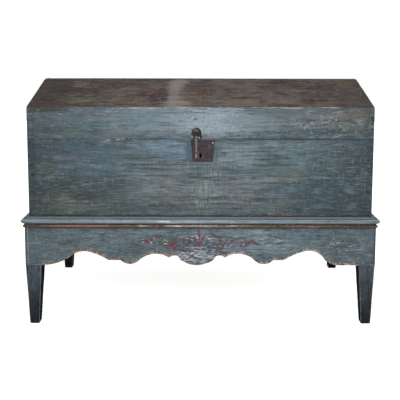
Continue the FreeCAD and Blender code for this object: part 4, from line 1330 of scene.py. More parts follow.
@dataclass
class Rim:
    """The moulding and the half-round bead that run round the front and sides of the stand."""

    half_width: float = side_of("case_front", 0, True)
    front: float = side_of("case_front", 1, False)
    base: float = side_of("apron_front", 2, True)
    back_end: float = side_of("moulding_left", 1, True)
    reach: float = 0.024
    frame_reach: float = 0.0135
    bead_radius: float = 0.0055
    bead_gap: float = 0.0015

    def rim_section(self) -> tuple[np.ndarray, np.ndarray, list[int]]:
        """The rim's corners as (projection, height), with their radii and arc points.

        The ovolo between foot and lip is the circle through its three known points, read at five
        even heights.

        Returns:
            Corners, radii and arc counts.
        """
        low, high = (0.016, 0.002), (self.reach, 0.011)
        bulge = (0.022, 0.0065)
        heights = np.linspace(low[1], high[1], 7)[1:-1]
        ovolo = Arch.through(heights, (low[1], low[0]), (bulge[1], bulge[0]), (high[1], high[0]))
        points = [(0.0, 0.0), (self.frame_reach, 0.0), low]
        points += [(float(p), float(h)) for p, h in zip(ovolo, heights)]
        points += [high, (self.reach, 0.016), (self.reach - 0.0025, 0.017), (0.0, MITRE_LIP)]
        radii = [0.0] * 8 + [0.0008, 0.0011, 0.0009, 0.0]
        arcs = [1] * 8 + [3, 4, 3, 1]
        return np.array(points), np.array(radii), arcs

    def bead_section(self) -> tuple[np.ndarray, np.ndarray, list[int]]:
        """The bead's corners: a half circle on the frame's face, closed by the face.

        Returns:
            Corners, radii and arc counts.
        """
        turn = np.linspace(0.5 * math.pi, -0.5 * math.pi, 11)
        centre = -self.bead_gap - self.bead_radius
        points = np.stack([self.frame_reach + self.bead_radius * np.cos(turn),
                           centre + self.bead_radius * np.sin(turn)], -1)
        return points, np.zeros(len(points)), [1] * len(points)

    def run(self, name: str, section: tuple[np.ndarray, np.ndarray, list[int]], side: int,
            finish: bpy.types.Material, slot: str, seed: int, wear: float) -> None:
        """Carries a section along one run of the rim.

        The front run's stations are shares of its mitred length, so the mitre comes from each
        point's own projection; a side run goes from its mitre to the square back end.

        Args:
            name: the CAD node that it stands for.
            section: corners, radii and arc counts.
            side: 0 for the front, 1 for the right, -1 for the left.
            finish: the material.
            slot: the record's slot.
            seed: seed of its unevenness.
            wear: how far the unevenness goes.
        """
        points, radii, arcs = section
        count = 401 if side == 0 else 181
        share = np.linspace(0.0, 1.0, count)
        corners = np.broadcast_to(points, (count, len(points), 2))
        knocks = nicks(seed, share, 26, (0.002, 0.009), (0.0006, 0.0022))[:, None]
        rounding = radii * (1.0 + 0.8 * Waver(seed, (0.03,)).at(share)[:, None]) + knocks * (radii > 0)
        loops, near = rounded_loops(corners, rounding, arcs, [spread(1)] * len(points))
        run_length = np.broadcast_to(share[:, None] * 1.2, loops.shape[:2])
        uneven = Waver(seed + 3, (0.12, 0.012)).at(run_length, loops[..., 1])
        outer = loops[..., 0] > self.frame_reach + 0.0001
        bruise = nicks(seed + 5, share, 30, (0.0015, 0.006), (0.0, 0.0006))[:, None]
        loops = pressed(loops, np.where(outer, 0.00008 + wear * uneven + bruise, 0.00005))
        out, up = loops[..., 0], loops[..., 1]
        if side == 0:
            x = (2.0 * share[:, None] - 1.0) * (self.half_width + out)
            y = self.front - out
        else:
            x = side * (self.half_width + out)
            start = self.front - out
            y = start + (self.back_end - start) * share[:, None]
        grid = np.stack([x, y, self.base + up], -1)
        skin = Skin()
        skin.tube(grid, arris=near)
        skin.make("worn_" + name, finish, "case", slot, (name,), 38.0)

    def build(self) -> None:
        """Makes and dresses the rim and the bead."""
        z = self.base
        moulding = AgedPaint(
            "aged_paint_rim", body=(104, 119, 126), light=(150, 166, 174), dark=(56, 66, 71),
            cool=(96, 117, 128), warm=(96, 108, 106), rub_tone=(146, 158, 164), wood=(150, 156, 158),
            flakes=0.55,
            bands=each(Band,
                (2, z + 0.0215, 0.004, (114, 121, 125), 0.8, 1.5),
                # painted shade in the corner against the case
                (2, z + 0.024, 0.0016, (44, 50, 52), 0.9, 1.0),
                # painted shadow under the fillet's step
                (2, z + 0.0168, 0.003, (52, 60, 64), 0.9, 1.0),
                # painted light on the ovolo's lower half, which faces down
                (2, z + 0.0065, 0.0048, (142, 158, 166), 0.55, 0.8),
                # painted shade in the quirk at the moulding's foot
                (2, z + 0.001, 0.002, (46, 37, 32), 0.9, 1.0),
                # these two bands are painted shade towards both ends
                (0, -0.624, 0.04, (72, 80, 84), 0.7, 1.5),
                (0, 0.624, 0.05, (70, 76, 82), 0.5, 1.5)),
            patches=each(Patch,
                # the first three patches are painted light, brightest in the middle, with a near-white
                # painted highlight in the second
                ((0.0, z + 0.009), (0.2, 0.012), (170, 182, 190), 0.7),
                ((-0.115, z + 0.01), (0.03, 0.012), (226, 230, 232), 0.9),
                ((-0.29, z + 0.01), (0.1, 0.012), (140, 160, 168), 0.6),
                # the last three patches are painted shade towards the ends
                ((-0.56, z + 0.01), (0.08, 0.02), (82, 94, 99), 0.6),
                ((0.52, z + 0.01), (0.16, 0.02), (80, 94, 101), 0.7),
                ((0.48, z + 0.021), (0.2, 0.005), (74, 74, 80), 0.7)),
        )
        bead = AgedPaint(
            "worn_bead_paint", body=(128, 92, 72), light=(166, 130, 108), dark=(66, 46, 38),
            cool=(110, 80, 66), warm=(136, 98, 74), flake=(196, 176, 166), flakes=0.35,
            patches=each(Patch,
                ((0.02, z - 0.007), (0.16, 0.02), (168, 152, 150), 0.9),
                ((0.33, z - 0.007), (0.23, 0.02), (92, 70, 62), 0.75),
                ((0.56, z - 0.007), (0.1, 0.02), (70, 52, 46), 0.7),
                ((-0.42, z - 0.007), (0.1, 0.02), (150, 106, 78), 0.5),
                ((-0.6, z - 0.007), (0.05, 0.02), (50, 39, 33), 0.85),
                ((0.54, z - 0.007), (0.12, 0.02), (56, 45, 41), 0.85)),
            bands=each(Band,
                # painted shade in the gap between the moulding and the bead
                (2, z - 0.0015, 0.0022, (42, 32, 27), 0.95, 1.0),
                (2, z - 0.0095, 0.0022, (84, 62, 50), 0.6, 1.0),
                # painted shade under the bead
                (2, z - 0.0125, 0.003, (42, 33, 30), 0.95, 1.0)),
            scuffs=each(Scuff,
                ((0.0, z - 0.006), (0.62, 0.008), (60, 46, 42), 0.8, 0.6, (22.0, 160.0)),
                ((0.05, z - 0.006), (0.34, 0.008), (206, 196, 190), 0.8, 0.63, (30.0, 160.0)),
                ((0.34, z - 0.006), (0.14, 0.008), (168, 120, 96), 0.7, 0.6, (20.0, 160.0))),
        ).make()
        # the side runs get a darker copy of the paint: painted shade, keeping the moulding's shade lines and
        # the painted light on its ovolo
        shady = replace(moulding, name="aged_paint_rim_sides_in_painted_shade", body=(66, 75, 79), light=(104, 116, 122),
                        dark=(38, 44, 48), cool=(60, 74, 82), warm=(66, 74, 72), patches=(),
                        bands=moulding.bands[1:4])
        rims = (moulding.make(), shady.make())
        for number, (label, side) in enumerate((("front", 0), ("left", -1), ("right", 1))):
            self.run("moulding_" + label, self.rim_section(), side, rims[abs(side)], "painted_wood",
                     60 + number, 0.00035)
            self.run("bead_" + label, self.bead_section(), side, bead, "bead_paint", 70 + number, 0.0004)


@dataclass
class Case:
    """The dovetailed case and its bottom boards."""

    front: float = side_of("case_front", 1, False)
    back: float = side_of("case_back", 1, True)
    half_width: float = side_of("case_front", 0, True)
    base: float = side_of("case_front", 2, False)
    top: float = side_of("case_front", 2, True)
    tails: int = 4
    pin: float = 0.01

    def build(self) -> None:
        """Dresses the case's boards, each for its own exposure."""
        rim = self.base + MITRE_LIP
        planes = outer_planes(self.front, self.back, self.half_width)
        joint = Joint(self.base, self.top, self.tails, self.pin, self.half_width - BOARD, (56, 67, 70),
                      (30, 34, 36))
        front = AgedPaint(
            "aged_paint_case_front", contrast=1.2, length=0.55, painted=planes, joint=joint,
            patches=each(Patch,
                # the first two patches are painted shade: the case grows darker towards both ends, away from
                # the light on its middle
                ((-0.64, 0.52), (0.27, 0.23), (34, 41, 42), 0.74),
                ((0.64, 0.52), (0.29, 0.23), (35, 43, 46), 0.74),
                ((-0.4, 0.638), (0.097, 0.021), (56, 74, 96), 0.5),
                # painted highlight: a lamp's reflection beside the lock
                ((-0.089, 0.625), (0.097, 0.0422), (108, 132, 150), 0.6),
                ((-0.54, 0.56), (0.063, 0.0212), (70, 79, 62), 0.6),
                ((-0.491, 0.458), (0.105, 0.0214), (68, 75, 60), 0.6),
                ((-0.453, 0.599), (0.055, 0.0105), (96, 92, 108), 0.6),
                ((-0.367, 0.571), (0.104, 0.0353), (74, 94, 108), 0.5),
                ((-0.35, 0.518), (0.087, 0.0177), (98, 92, 84), 0.6),
                ((-0.141, 0.501), (0.157, 0.0783), (106, 112, 112), 0.55),
                ((0.016, 0.466), (0.049, 0.0894), (114, 124, 124), 0.45),
                ((-0.421, 0.419), (0.192, 0.0286), (66, 78, 66), 0.6),
                ((0.435, 0.484), (0.122, 0.057), (54, 78, 84), 0.7),
                ((0.38, 0.608), (0.139, 0.0422), (100, 124, 136), 0.65),
                ((0.484, 0.598), (0.035, 0.0141), (84, 98, 72), 0.7),
                ((0.294, 0.527), (0.105, 0.0177), (102, 109, 99), 0.55),
                ((0.12, 0.484), (0.087, 0.0427), (114, 112, 120), 0.5),
                ((0.244, 0.398), (0.158, 0.0108), (92, 84, 80), 0.6),
                ((0.584, 0.52), (0.014, 0.1427), (50, 60, 62), 0.7),
                ((-0.587, 0.624), (0.014, 0.0703), (40, 48, 66), 0.8),
                # painted highlight: a lamp's reflection beside the lock
                ((0.13, 0.6), (0.085, 0.056), (116, 132, 140), 0.7),
                ((0.46, 0.61), (0.15, 0.052), (58, 70, 76), 0.6),
                ((-0.39, 0.495), (0.2, 0.04), (48, 57, 56), 0.7),
                ((-0.45, 0.44), (0.23, 0.038), (46, 53, 44), 0.7),
                ((-0.14, 0.422), (0.22, 0.03), (62, 72, 76), 0.6),
                ((0.48, 0.48), (0.17, 0.056), (52, 66, 72), 0.6),
                ((0.49, 0.412), (0.2, 0.03), (42, 52, 56), 0.6),
                ((0.15, 0.505), (0.08, 0.02), (104, 114, 120), 0.5),
                ((-0.43, 0.425), (0.11, 0.018), (98, 106, 100), 0.6)),
            veils=each(Patch,
                # these two veils are painted shadow on both sides of the lock plate
                ((-0.04, 0.622), (0.016, 0.042), (62, 78, 92), 0.7),
                ((0.051, 0.618), (0.012, 0.04), (66, 78, 84), 0.5),
                ((0.008, 0.577), (0.06, 0.008), (96, 98, 104), 0.5),
                ((0.36, self.top), (0.33, 0.003), (34, 40, 42), 0.85),
                ((-0.19, self.top), (0.15, 0.0026), (40, 46, 50), 0.75),
                ((-0.47, self.top), (0.2, 0.0024), (50, 58, 62), 0.5),
                ((-0.182, 0.6065), (0.01, 0.0035), (44, 50, 54), 0.8),
                # these two veils add to the painted shade at the ends
                ((-0.49, 0.45), (0.18, 0.09), (46, 53, 48), 0.26),
                ((0.5, 0.43), (0.17, 0.065), (46, 55, 59), 0.32),
                ((-0.5, 0.61), (0.16, 0.05), (64, 76, 82), 0.25),
                ((-0.26, 0.6), (0.18, 0.013), (62, 78, 88), 0.4),
                ((0.1, 0.556), (0.2, 0.011), (72, 88, 96), 0.4),
                ((-0.12, 0.414), (0.24, 0.009), (70, 80, 80), 0.5)),
            bands=each(Band,
                # these two bands also paint shade at the ends
                (0, -0.6, 0.04, (40, 48, 50), 0.3, 1.5),
                (0, 0.6, 0.05, (42, 52, 56), 0.3, 1.5),
                # painted shade in the corner where the moulding meets the case
                (2, rim, 0.006, (36, 40, 40), 0.85)),
            hatches=each(Patch,
                ((0.016, 0.466), (0.06, 0.11), (150, 160, 152), 0.42),
                ((0.02, 0.59), (0.11, 0.08), (150, 162, 168), 0.3)),
            scuffs=each(Scuff,
                ((-0.3, self.top - 0.001), (0.09, 0.004), (164, 154, 150), 0.65, 0.56, (60.0, 260.0)),
                ((-0.59, 0.56), (0.016, 0.19), (30, 34, 38), 0.8, 0.55, (60.0, 70.0)),
                ((0.592, 0.56), (0.014, 0.19), (30, 35, 38), 0.8, 0.56, (60.0, 70.0)),
                ((0.5, 0.56), (0.11, 0.13), (116, 128, 134), 0.15, 0.62, (30.0, 170.0)),
                ((-0.45, 0.47), (0.16, 0.07), (108, 116, 114), 0.12, 0.62, (30.0, 170.0))),
        ).make()
        end = AgedPaint(
            "aged_paint_case_ends", Grain.INWARD, Face.END, painted=planes, body=(76, 88, 92),
            dark=(44, 52, 56),
            patches=each(Patch,
                ((0.0, 0.6), (0.22, 0.05), (96, 114, 122), 0.5),
                ((0.1, 0.44), (0.25, 0.04), (62, 74, 68), 0.6)),
            bands=each(Band,
                # painted shade in the corner where the moulding meets the case
                (2, rim, 0.008, (38, 44, 44), 0.8),
                (2, self.top, 0.003, (40, 48, 52), 0.7),
                (1, self.front, 0.003, (38, 46, 48), 0.75)),
        ).make()
        back = AgedPaint(
            "aged_paint_case_back", painted=planes, body=(84, 94, 94), joint=joint, warm=(98, 92, 80),
            contrast=0.9,
            bands=each(Band,
                (2, self.base, 0.02, (46, 48, 46), 0.7),
                (2, self.top, 0.003, (44, 52, 56), 0.7)),
        ).make()
        dress(front, "case_front")
        dress(end, "case_end_left", "case_end_right")
        dress(back, "case_back")
        inside = BareWood("bare_wood_bottom_boards", Grain.ACROSS).make()
        dress(inside, "bottom_board_1", "bottom_board_2", "bottom_board_3")


@dataclass
class Lid:
    """The canted lid: a front and back board, two shaped ends, ribs and three planks on top."""

    half_width: float = side_of("case_front", 0, True)
    front: float = side_of("lid_front", 1, False)
    back: float = side_of("lid_back", 1, True)
    low: float = side_of("lid_front", 2, False)
    crest: float = side_of("lid_plank_ridge", 2, True)
    slope: float = math.radians(17.4)
    ridge_radius: float = 0.15
    edge_radius: float = 0.012
    turn_in: float = 0.0035
    border_rag: float = 0.005
    stations: int = 301

    @property
    def middle(self) -> float:
        """Half way from front to back."""
        return (self.front + self.back) / 2.0

    @property
    def planes(self) -> tuple[Plane, ...]:
        """The lid's painted faces."""
        return outer_planes(self.front, self.back, self.half_width)

    def round_place(self, angle: np.ndarray, inset: float) -> np.ndarray:
        """Places on the ridge's circle: its radius less an inset, at angles from upright.

        Args:
            angle: angles, positive towards the back.
            inset: depth below the outer face.

        Returns:
            (..., 2) places in depth and height.
        """
        radius = self.ridge_radius - inset
        centre = self.crest - self.ridge_radius
        return np.stack([self.middle + radius * np.sin(angle), centre + radius * np.cos(angle)], -1)

    def from_ridge(self, loops: np.ndarray) -> tuple[np.ndarray, np.ndarray]:
        """Reach to either side and upwards from the centre of the ridge's circle."""
        return np.abs(loops[..., 0] - self.middle), loops[..., 1] - (self.crest - self.ridge_radius)

    def under(self, loops: np.ndarray) -> np.ndarray:
        """1 on the lid's inner faces and 0 elsewhere.

        The depth under the outer face is the ridge's radius less the place's reach from the ridge's
        centre in the direction of the nearest tangent point, whose angle stays within the slope.

        Args:
            loops: (..., 2) places in depth and height.

        Returns:
            The marks.
        """
        aside, up = self.from_ridge(loops)
        angle = np.clip(np.arctan2(aside, up), 0.0, self.slope)
        depth = self.ridge_radius - (aside * np.sin(angle) + up * np.cos(angle))
        return (depth > 0.92 * BOARD).astype(float)

    def clear_of_seams(self, loops: np.ndarray) -> np.ndarray:
        """0 at the two seams between the planks, rising to 1 within a few millimetres.

        A seam runs from the ridge's centre through a tangent point, so the distance to it is the
        place's reach across that direction.

        Args:
            loops: (..., 2) places in depth and height.

        Returns:
            The marks.
        """
        aside, up = self.from_ridge(loops)
        across = np.abs(aside * math.cos(self.slope) - up * math.sin(self.slope))
        return np.clip((across - 0.0008) / 0.005, 0.0, 1.0)

    def plank_top(self, name: str, corners: np.ndarray, radii: Sequence[float], arcs: Sequence[int],
                  sides: Sequence[Sequence[float]], finish: bpy.types.Material, seed: int) -> None:
        """Carries one plank's section along the lid.

        The face sinks by up to half a millimetre in long shallow waves, as planed and weathered
        boards do, and the arrises are rounded more where they were knocked.

        Args:
            name: the CAD node that it stands for.
            corners: the section's corners in depth and height.
            radii: each corner's radius.
            arcs: points on each arc.
            sides: shares along each side.
            finish: the material.
            seed: seed of its unevenness.
        """
        x = np.linspace(-self.half_width, self.half_width, self.stations)
        shape = np.broadcast_to(corners, (len(x),) + corners.shape)
        knocks = nicks(seed, x, 34, (0.003, 0.014), (0.0004, 0.003))[:, None]
        rounding = np.array(radii)[None] * (0.9 + 0.2 * Waver(seed, (0.16,)).at(x)[:, None])
        rounding = rounding + knocks * (np.array(radii)[None] > 0.001)
        loops, near = rounded_loops(shape, rounding, arcs, sides)
        across = np.broadcast_to(x[:, None], loops.shape[:2])
        wave = Waver(seed + 1, (0.5, 0.07, 0.07)).at(across, loops[..., 0], loops[..., 1])
        ripple = Waver(seed + 2, (0.09, 0.02, 0.02)).at(across, loops[..., 0], loops[..., 1])
        loops = pressed(loops, (0.0001 + 0.0006 * wave + 0.00025 * ripple) * self.clear_of_seams(loops))
        grid = np.stack([across, loops[..., 0], loops[..., 1]], -1)
        skin = Skin()
        inside = self.under(loops) * (np.abs(x) < self.half_width - 0.0005)[:, None]
        skin.tube(grid, arris=near * 0.55, underside=inside)
        skin.make("weathered_" + name, finish, "lid", "top_wood", (name,), 40.0)

    def front_paint(self, seat: float) -> AgedPaint:
        """The paint of the lid's front, which also covers the front plank's edge.

        Args:
            seat: height of the front board's top edge.

        Returns:
            The finish.
        """
        return AgedPaint(
            "aged_paint_lid_front", painted=self.planes, joint=self.joint(seat), body=(92, 103, 108),
            flakes=0.5, ragged=2.2, contrast=0.9,
            patches=each(Patch,
                # the first two patches are painted shade: the lid's front grows darker towards both ends
                ((-0.64, 0.715), (0.22, 0.1), (58, 65, 67), 0.6),
                ((0.64, 0.715), (0.24, 0.1), (52, 54, 55), 0.6),
                # these two patches are a painted reflection: a lamp's broad pale sheen across the middle of
                # the lid's front
                ((0.05, 0.723), (0.19, 0.0557), (144, 155, 164), 0.85),
                ((0.09, 0.762), (0.09, 0.016), (134, 149, 160), 0.6),
                ((-0.214, 0.698), (0.15, 0.026), (120, 134, 140), 0.65),
                ((0.37, 0.71), (0.11, 0.012), (114, 124, 128), 0.6),
                ((0.13, 0.683), (0.09, 0.016), (128, 141, 147), 0.6),
                ((-0.174, 0.74), (0.172, 0.0312), (108, 127, 137), 0.65),
                ((-0.364, 0.756), (0.12, 0.0173), (104, 106, 115), 0.6),
                ((-0.17, 0.766), (0.15, 0.012), (124, 137, 145), 0.6),
                ((0.498, 0.716), (0.097, 0.0418), (102, 102, 98), 0.6),
                ((0.447, 0.689), (0.138, 0.014), (54, 66, 70), 0.65),
                ((-0.486, 0.687), (0.104, 0.0139), (78, 85, 76), 0.7),
                ((0.42, 0.745), (0.16, 0.011), (120, 122, 120), 0.5)),
            veils=each(Patch,
                # painted reflection over the streaks, with the two patches above
                ((0.04, 0.726), (0.17, 0.048), (140, 151, 160), 0.6),
                ((0.175, 0.726), (0.1, 0.036), (102, 115, 123), 0.7),
                ((0.06, 0.676), (0.04, 0.01), (122, 130, 134), 0.5),
                ((0.3, 0.758), (0.17, 0.018), (92, 100, 102), 0.6),
                ((0.48, 0.746), (0.12, 0.02), (88, 90, 88), 0.6),
                ((-0.18, 0.73), (0.18, 0.04), (104, 118, 126), 0.35),
                ((0.36, self.low), (0.33, 0.003), (34, 40, 42), 0.85),
                ((-0.19, self.low), (0.15, 0.0026), (42, 48, 52), 0.75),
                ((-0.47, self.low), (0.2, 0.0024), (52, 60, 64), 0.5),
                ((-0.018, 0.7325), (0.008, 0.003), (58, 60, 64), 0.8),
                ((0.035, 0.676), (0.05, 0.008), (104, 110, 112), 0.5),
                ((0.018, 0.6695), (0.022, 0.003), (124, 122, 134), 0.6),
                ((-0.54, 0.765), (0.1, 0.011), (58, 56, 56), 0.9),
                ((0.56, 0.75), (0.085, 0.02), (92, 85, 82), 0.75),
                ((-0.3, 0.684), (0.18, 0.013), (78, 88, 90), 0.45)),
            bands=each(Band,
                # these two bands also paint shade at the ends
                (0, -0.6, 0.04, (50, 56, 58), 0.3, 1.5),
                (0, 0.6, 0.04, (56, 58, 60), 0.3, 1.5)),
            hatches=(Patch((0.05, 0.73), (0.15, 0.06), (104, 119, 128), 0.4),),
            scuffs=each(Scuff,
                ((0.0, 0.716), (0.15, 0.056), (92, 102, 110), 0.5, 0.59, (110.0, 130.0)),
                ((-0.046, 0.676), (0.024, 0.012), (84, 80, 78), 0.6, 0.52, (110.0, 170.0)),
                ((0.03, 0.724), (0.17, 0.054), (172, 182, 189), 0.32, 0.57, (110.0, 130.0)),
                ((-0.21, 0.77), (0.11, 0.004), (168, 160, 160), 0.65, 0.5, (50.0, 240.0)),
                ((0.45, 0.708), (0.16, 0.05), (148, 155, 158), 0.5, 0.59, (70.0, 150.0)),
                ((0.45, 0.7), (0.16, 0.056), (46, 52, 54), 0.55, 0.56, (40.0, 130.0)),
                ((-0.31, self.low + 0.002), (0.1, 0.0045), (164, 154, 150), 0.65, 0.56, (60.0, 260.0)),
                ((-0.29, 0.756), (0.07, 0.006), (150, 155, 160), 0.6, 0.58, (50.0, 200.0)),
                ((0.54, 0.738), (0.11, 0.024), (44, 42, 42), 0.75, 0.6, (26.0, 170.0)),
                ((0.45, 0.752), (0.12, 0.02), (152, 156, 154), 0.6, 0.61, (26.0, 170.0)),
                ((0.592, 0.72), (0.014, 0.06), (30, 33, 36), 0.8, 0.55, (60.0, 80.0)),
                ((-0.592, 0.715), (0.014, 0.06), (32, 36, 40), 0.8, 0.56, (60.0, 80.0))),
        )

    def joint(self, seat: float) -> Joint:
        """The dovetails at the ends of the lid's front and back."""
        return Joint(self.low, seat, 2, 0.01, self.half_width - BOARD, (72, 82, 84), (30, 34, 36))

    def back_paint(self, seat: float) -> AgedPaint:
        """The paint of the lid's back, which also covers the rear plank's edge.

        Args:
            seat: height of the board's top edge.

        Returns:
            The finish.
        """
        return AgedPaint(
            "aged_paint_lid_back", painted=self.planes, joint=self.joint(seat), body=(82, 90, 90),
            warm=(92, 87, 76), bands=(Band(2, self.low, 0.0045, (40, 46, 48), 0.7),),
        )

    def top_finish(self, name: str, beside: Optional[Meeting]) -> bpy.types.Material:
        """The smoke-browned, stained face of the planks.

        Args:
            name: the material's name.
            beside: the paint on the plank's outer edge, if it has one.

        Returns:
            The material.
        """
        return AgedPaint(
            name, Grain.ACROSS, Face.TOP, body=(67, 60, 57), light=(122, 113, 105), dark=(28, 24, 23),
            cool=(72, 67, 68), warm=(82, 72, 56), flake=(128, 120, 110), wood=(88, 70, 58),
            rub_tone=(104, 98, 95), flakes=0.2, gloss=0.08, contrast=1.2, length=0.55, weave=0.36,
            ragged=1.5, beside=beside, lined=True,
            patches=each(Patch,
                ((0.0, -0.262), (0.64, 0.048), (98, 89, 82), 0.6),
                ((0.06, -0.15), (0.34, 0.15), (94, 86, 80), 0.6),
                ((0.0, -0.1), (0.6, 0.06), (62, 55, 52), 0.35),
                ((-0.28, -0.152), (0.085, 0.025), (112, 102, 90), 0.6),
                ((-0.52, -0.072), (0.11, 0.03), (92, 84, 74), 0.6),
                ((-0.16, -0.19), (0.052, 0.095), (72, 50, 46), 0.85),
                ((-0.01, -0.165), (0.048, 0.085), (76, 55, 47), 0.85),
                ((-0.17, -0.236), (0.034, 0.026), (54, 56, 66), 0.75),
                ((-0.434, -0.228), (0.075, 0.035), (86, 84, 62), 0.65),
                ((-0.57, -0.24), (0.05, 0.06), (72, 50, 44), 0.65),
                ((0.2, -0.246), (0.16, 0.024), (106, 96, 86), 0.5),
                ((-0.31, -0.246), (0.11, 0.02), (112, 102, 92), 0.5),
                ((-0.48, -0.11), (0.14, 0.1), (42, 37, 35), 0.6),
                ((0.44, -0.08), (0.17, 0.06), (50, 45, 43), 0.5),
                ((0.464, -0.198), (0.1, 0.045), (54, 46, 46), 0.65),
                ((0.539, -0.068), (0.034, 0.0537), (102, 92, 66), 0.6),
                ((-0.349, -0.01), (0.32, 0.035), (40, 34, 31), 0.85),
                ((0.35, -0.01), (0.3, 0.03), (56, 48, 44), 0.7),
                ((-0.267, -0.256), (0.056, 0.023), (76, 74, 54), 0.6)),
            veils=each(Patch,
                ((-0.098, -0.165), (0.025, 0.11), (126, 116, 113), 0.66),
                ((-0.092, -0.104), (0.034, 0.044), (130, 123, 117), 0.55),
                ((-0.086, -0.056), (0.05, 0.044), (136, 130, 122), 0.64),
                ((-0.092, -0.222), (0.038, 0.038), (128, 121, 116), 0.5),
                ((-0.08, -0.264), (0.058, 0.038), (132, 125, 117), 0.64),
                ((-0.106, -0.212), (0.017, 0.018), (110, 115, 124), 0.45),
                ((-0.05, 0.0), (0.56, 0.03), (60, 54, 51), 0.35),
                ((-0.01, -0.276), (0.06, 0.006), (56, 54, 55), 0.7)),
            bands=each(Band,
                (0, -0.6, 0.13, (44, 39, 37), 0.62, 2.0),
                (0, 0.6, 0.1, (54, 48, 46), 0.5, 2.0),
                (0, -0.6, 0.006, (40, 35, 33), 0.6, 1.0),
                (0, 0.6, 0.005, (46, 41, 39), 0.5, 1.0)),
            scuffs=each(Scuff,
                ((0.578, -0.165), (0.012, 0.026), (150, 146, 142), 0.5, 0.57, (60.0, 60.0)),
                ((0.0, -0.18), (0.56, 0.12), (116, 107, 98), 0.35, 0.58, (40.0, 60.0))),
        ).make()

    def build(self) -> None:
        """Makes the planks and dresses the lid."""
        tilt = math.tan(self.slope)
        tangent = self.round_place(np.array([-self.slope, self.slope]), 0.0)
        inner = self.round_place(np.array([-self.slope, self.slope]), BOARD)
        edge_height = tangent[0, 1] - tilt * (tangent[0, 0] - self.front)
        drop = BOARD / math.cos(self.slope)
        seat = edge_height - drop
        front_edge = replace(self.front_paint(seat), painted=(), joint=None, lined=True)
        back_edge = replace(self.back_paint(seat), painted=(), joint=None, lined=True)
        front_plank = np.array([[self.front, edge_height], tangent[0], inner[0], [self.front, seat]])
        long_side, short = close_in(24, 0.02), close_in(2, 0.15)
        radii, arcs = (self.edge_radius, 0.0012, 0.0006, 0.0003), (9, 3, 2, 2)
        sides = (long_side, short, spread(6), short)
        border = Meeting(front_edge, 1, self.front + self.turn_in, -1.0, self.border_rag)
        finish = self.top_finish("smoked_front_plank", border)
        self.plank_top("lid_plank_front", front_plank, radii, arcs, sides, finish, 81)
        rear_plank = front_plank.copy()
        rear_plank[:, 0] = 2.0 * self.middle - rear_plank[:, 0]
        border = Meeting(back_edge, 1, self.back - self.turn_in, 1.0, self.border_rag)
        finish = self.top_finish("smoked_rear_plank", border)
        self.plank_top("lid_plank_rear", rear_plank, radii, arcs, sides, finish, 84)
        turn = np.linspace(-self.slope, self.slope, 13)
        ring = np.concatenate([self.round_place(turn, 0.0), self.round_place(turn[::-1], BOARD)])
        ridge_radii = [0.0012] + [0.0] * 11 + [0.0012, 0.0006] + [0.0] * 11 + [0.0006]
        ridge_arcs = [3] + [1] * 11 + [3, 2] + [1] * 11 + [2]
        finish = self.top_finish("smoked_ridge_plank", None)
        self.plank_top("lid_plank_ridge", ring, ridge_radii, ridge_arcs, [[]] * 26, finish, 87)
        ends = AgedPaint(
            "aged_paint_lid_ends", Grain.INWARD, Face.END, painted=self.planes, body=(76, 87, 91),
            dark=(44, 52, 56), bands=(Band(2, self.low, 0.0045, (40, 46, 48), 0.7),),
        ).make()
        dress(self.front_paint(seat).make(), "lid_front")
        dress(self.back_paint(seat).make(), "lid_back")
        dress(ends, "lid_end_left", "lid_end_right")
        dress(BareWood("bare_wood_ribs", Grain.INWARD).make(), "lid_rib_left", "lid_rib_right")


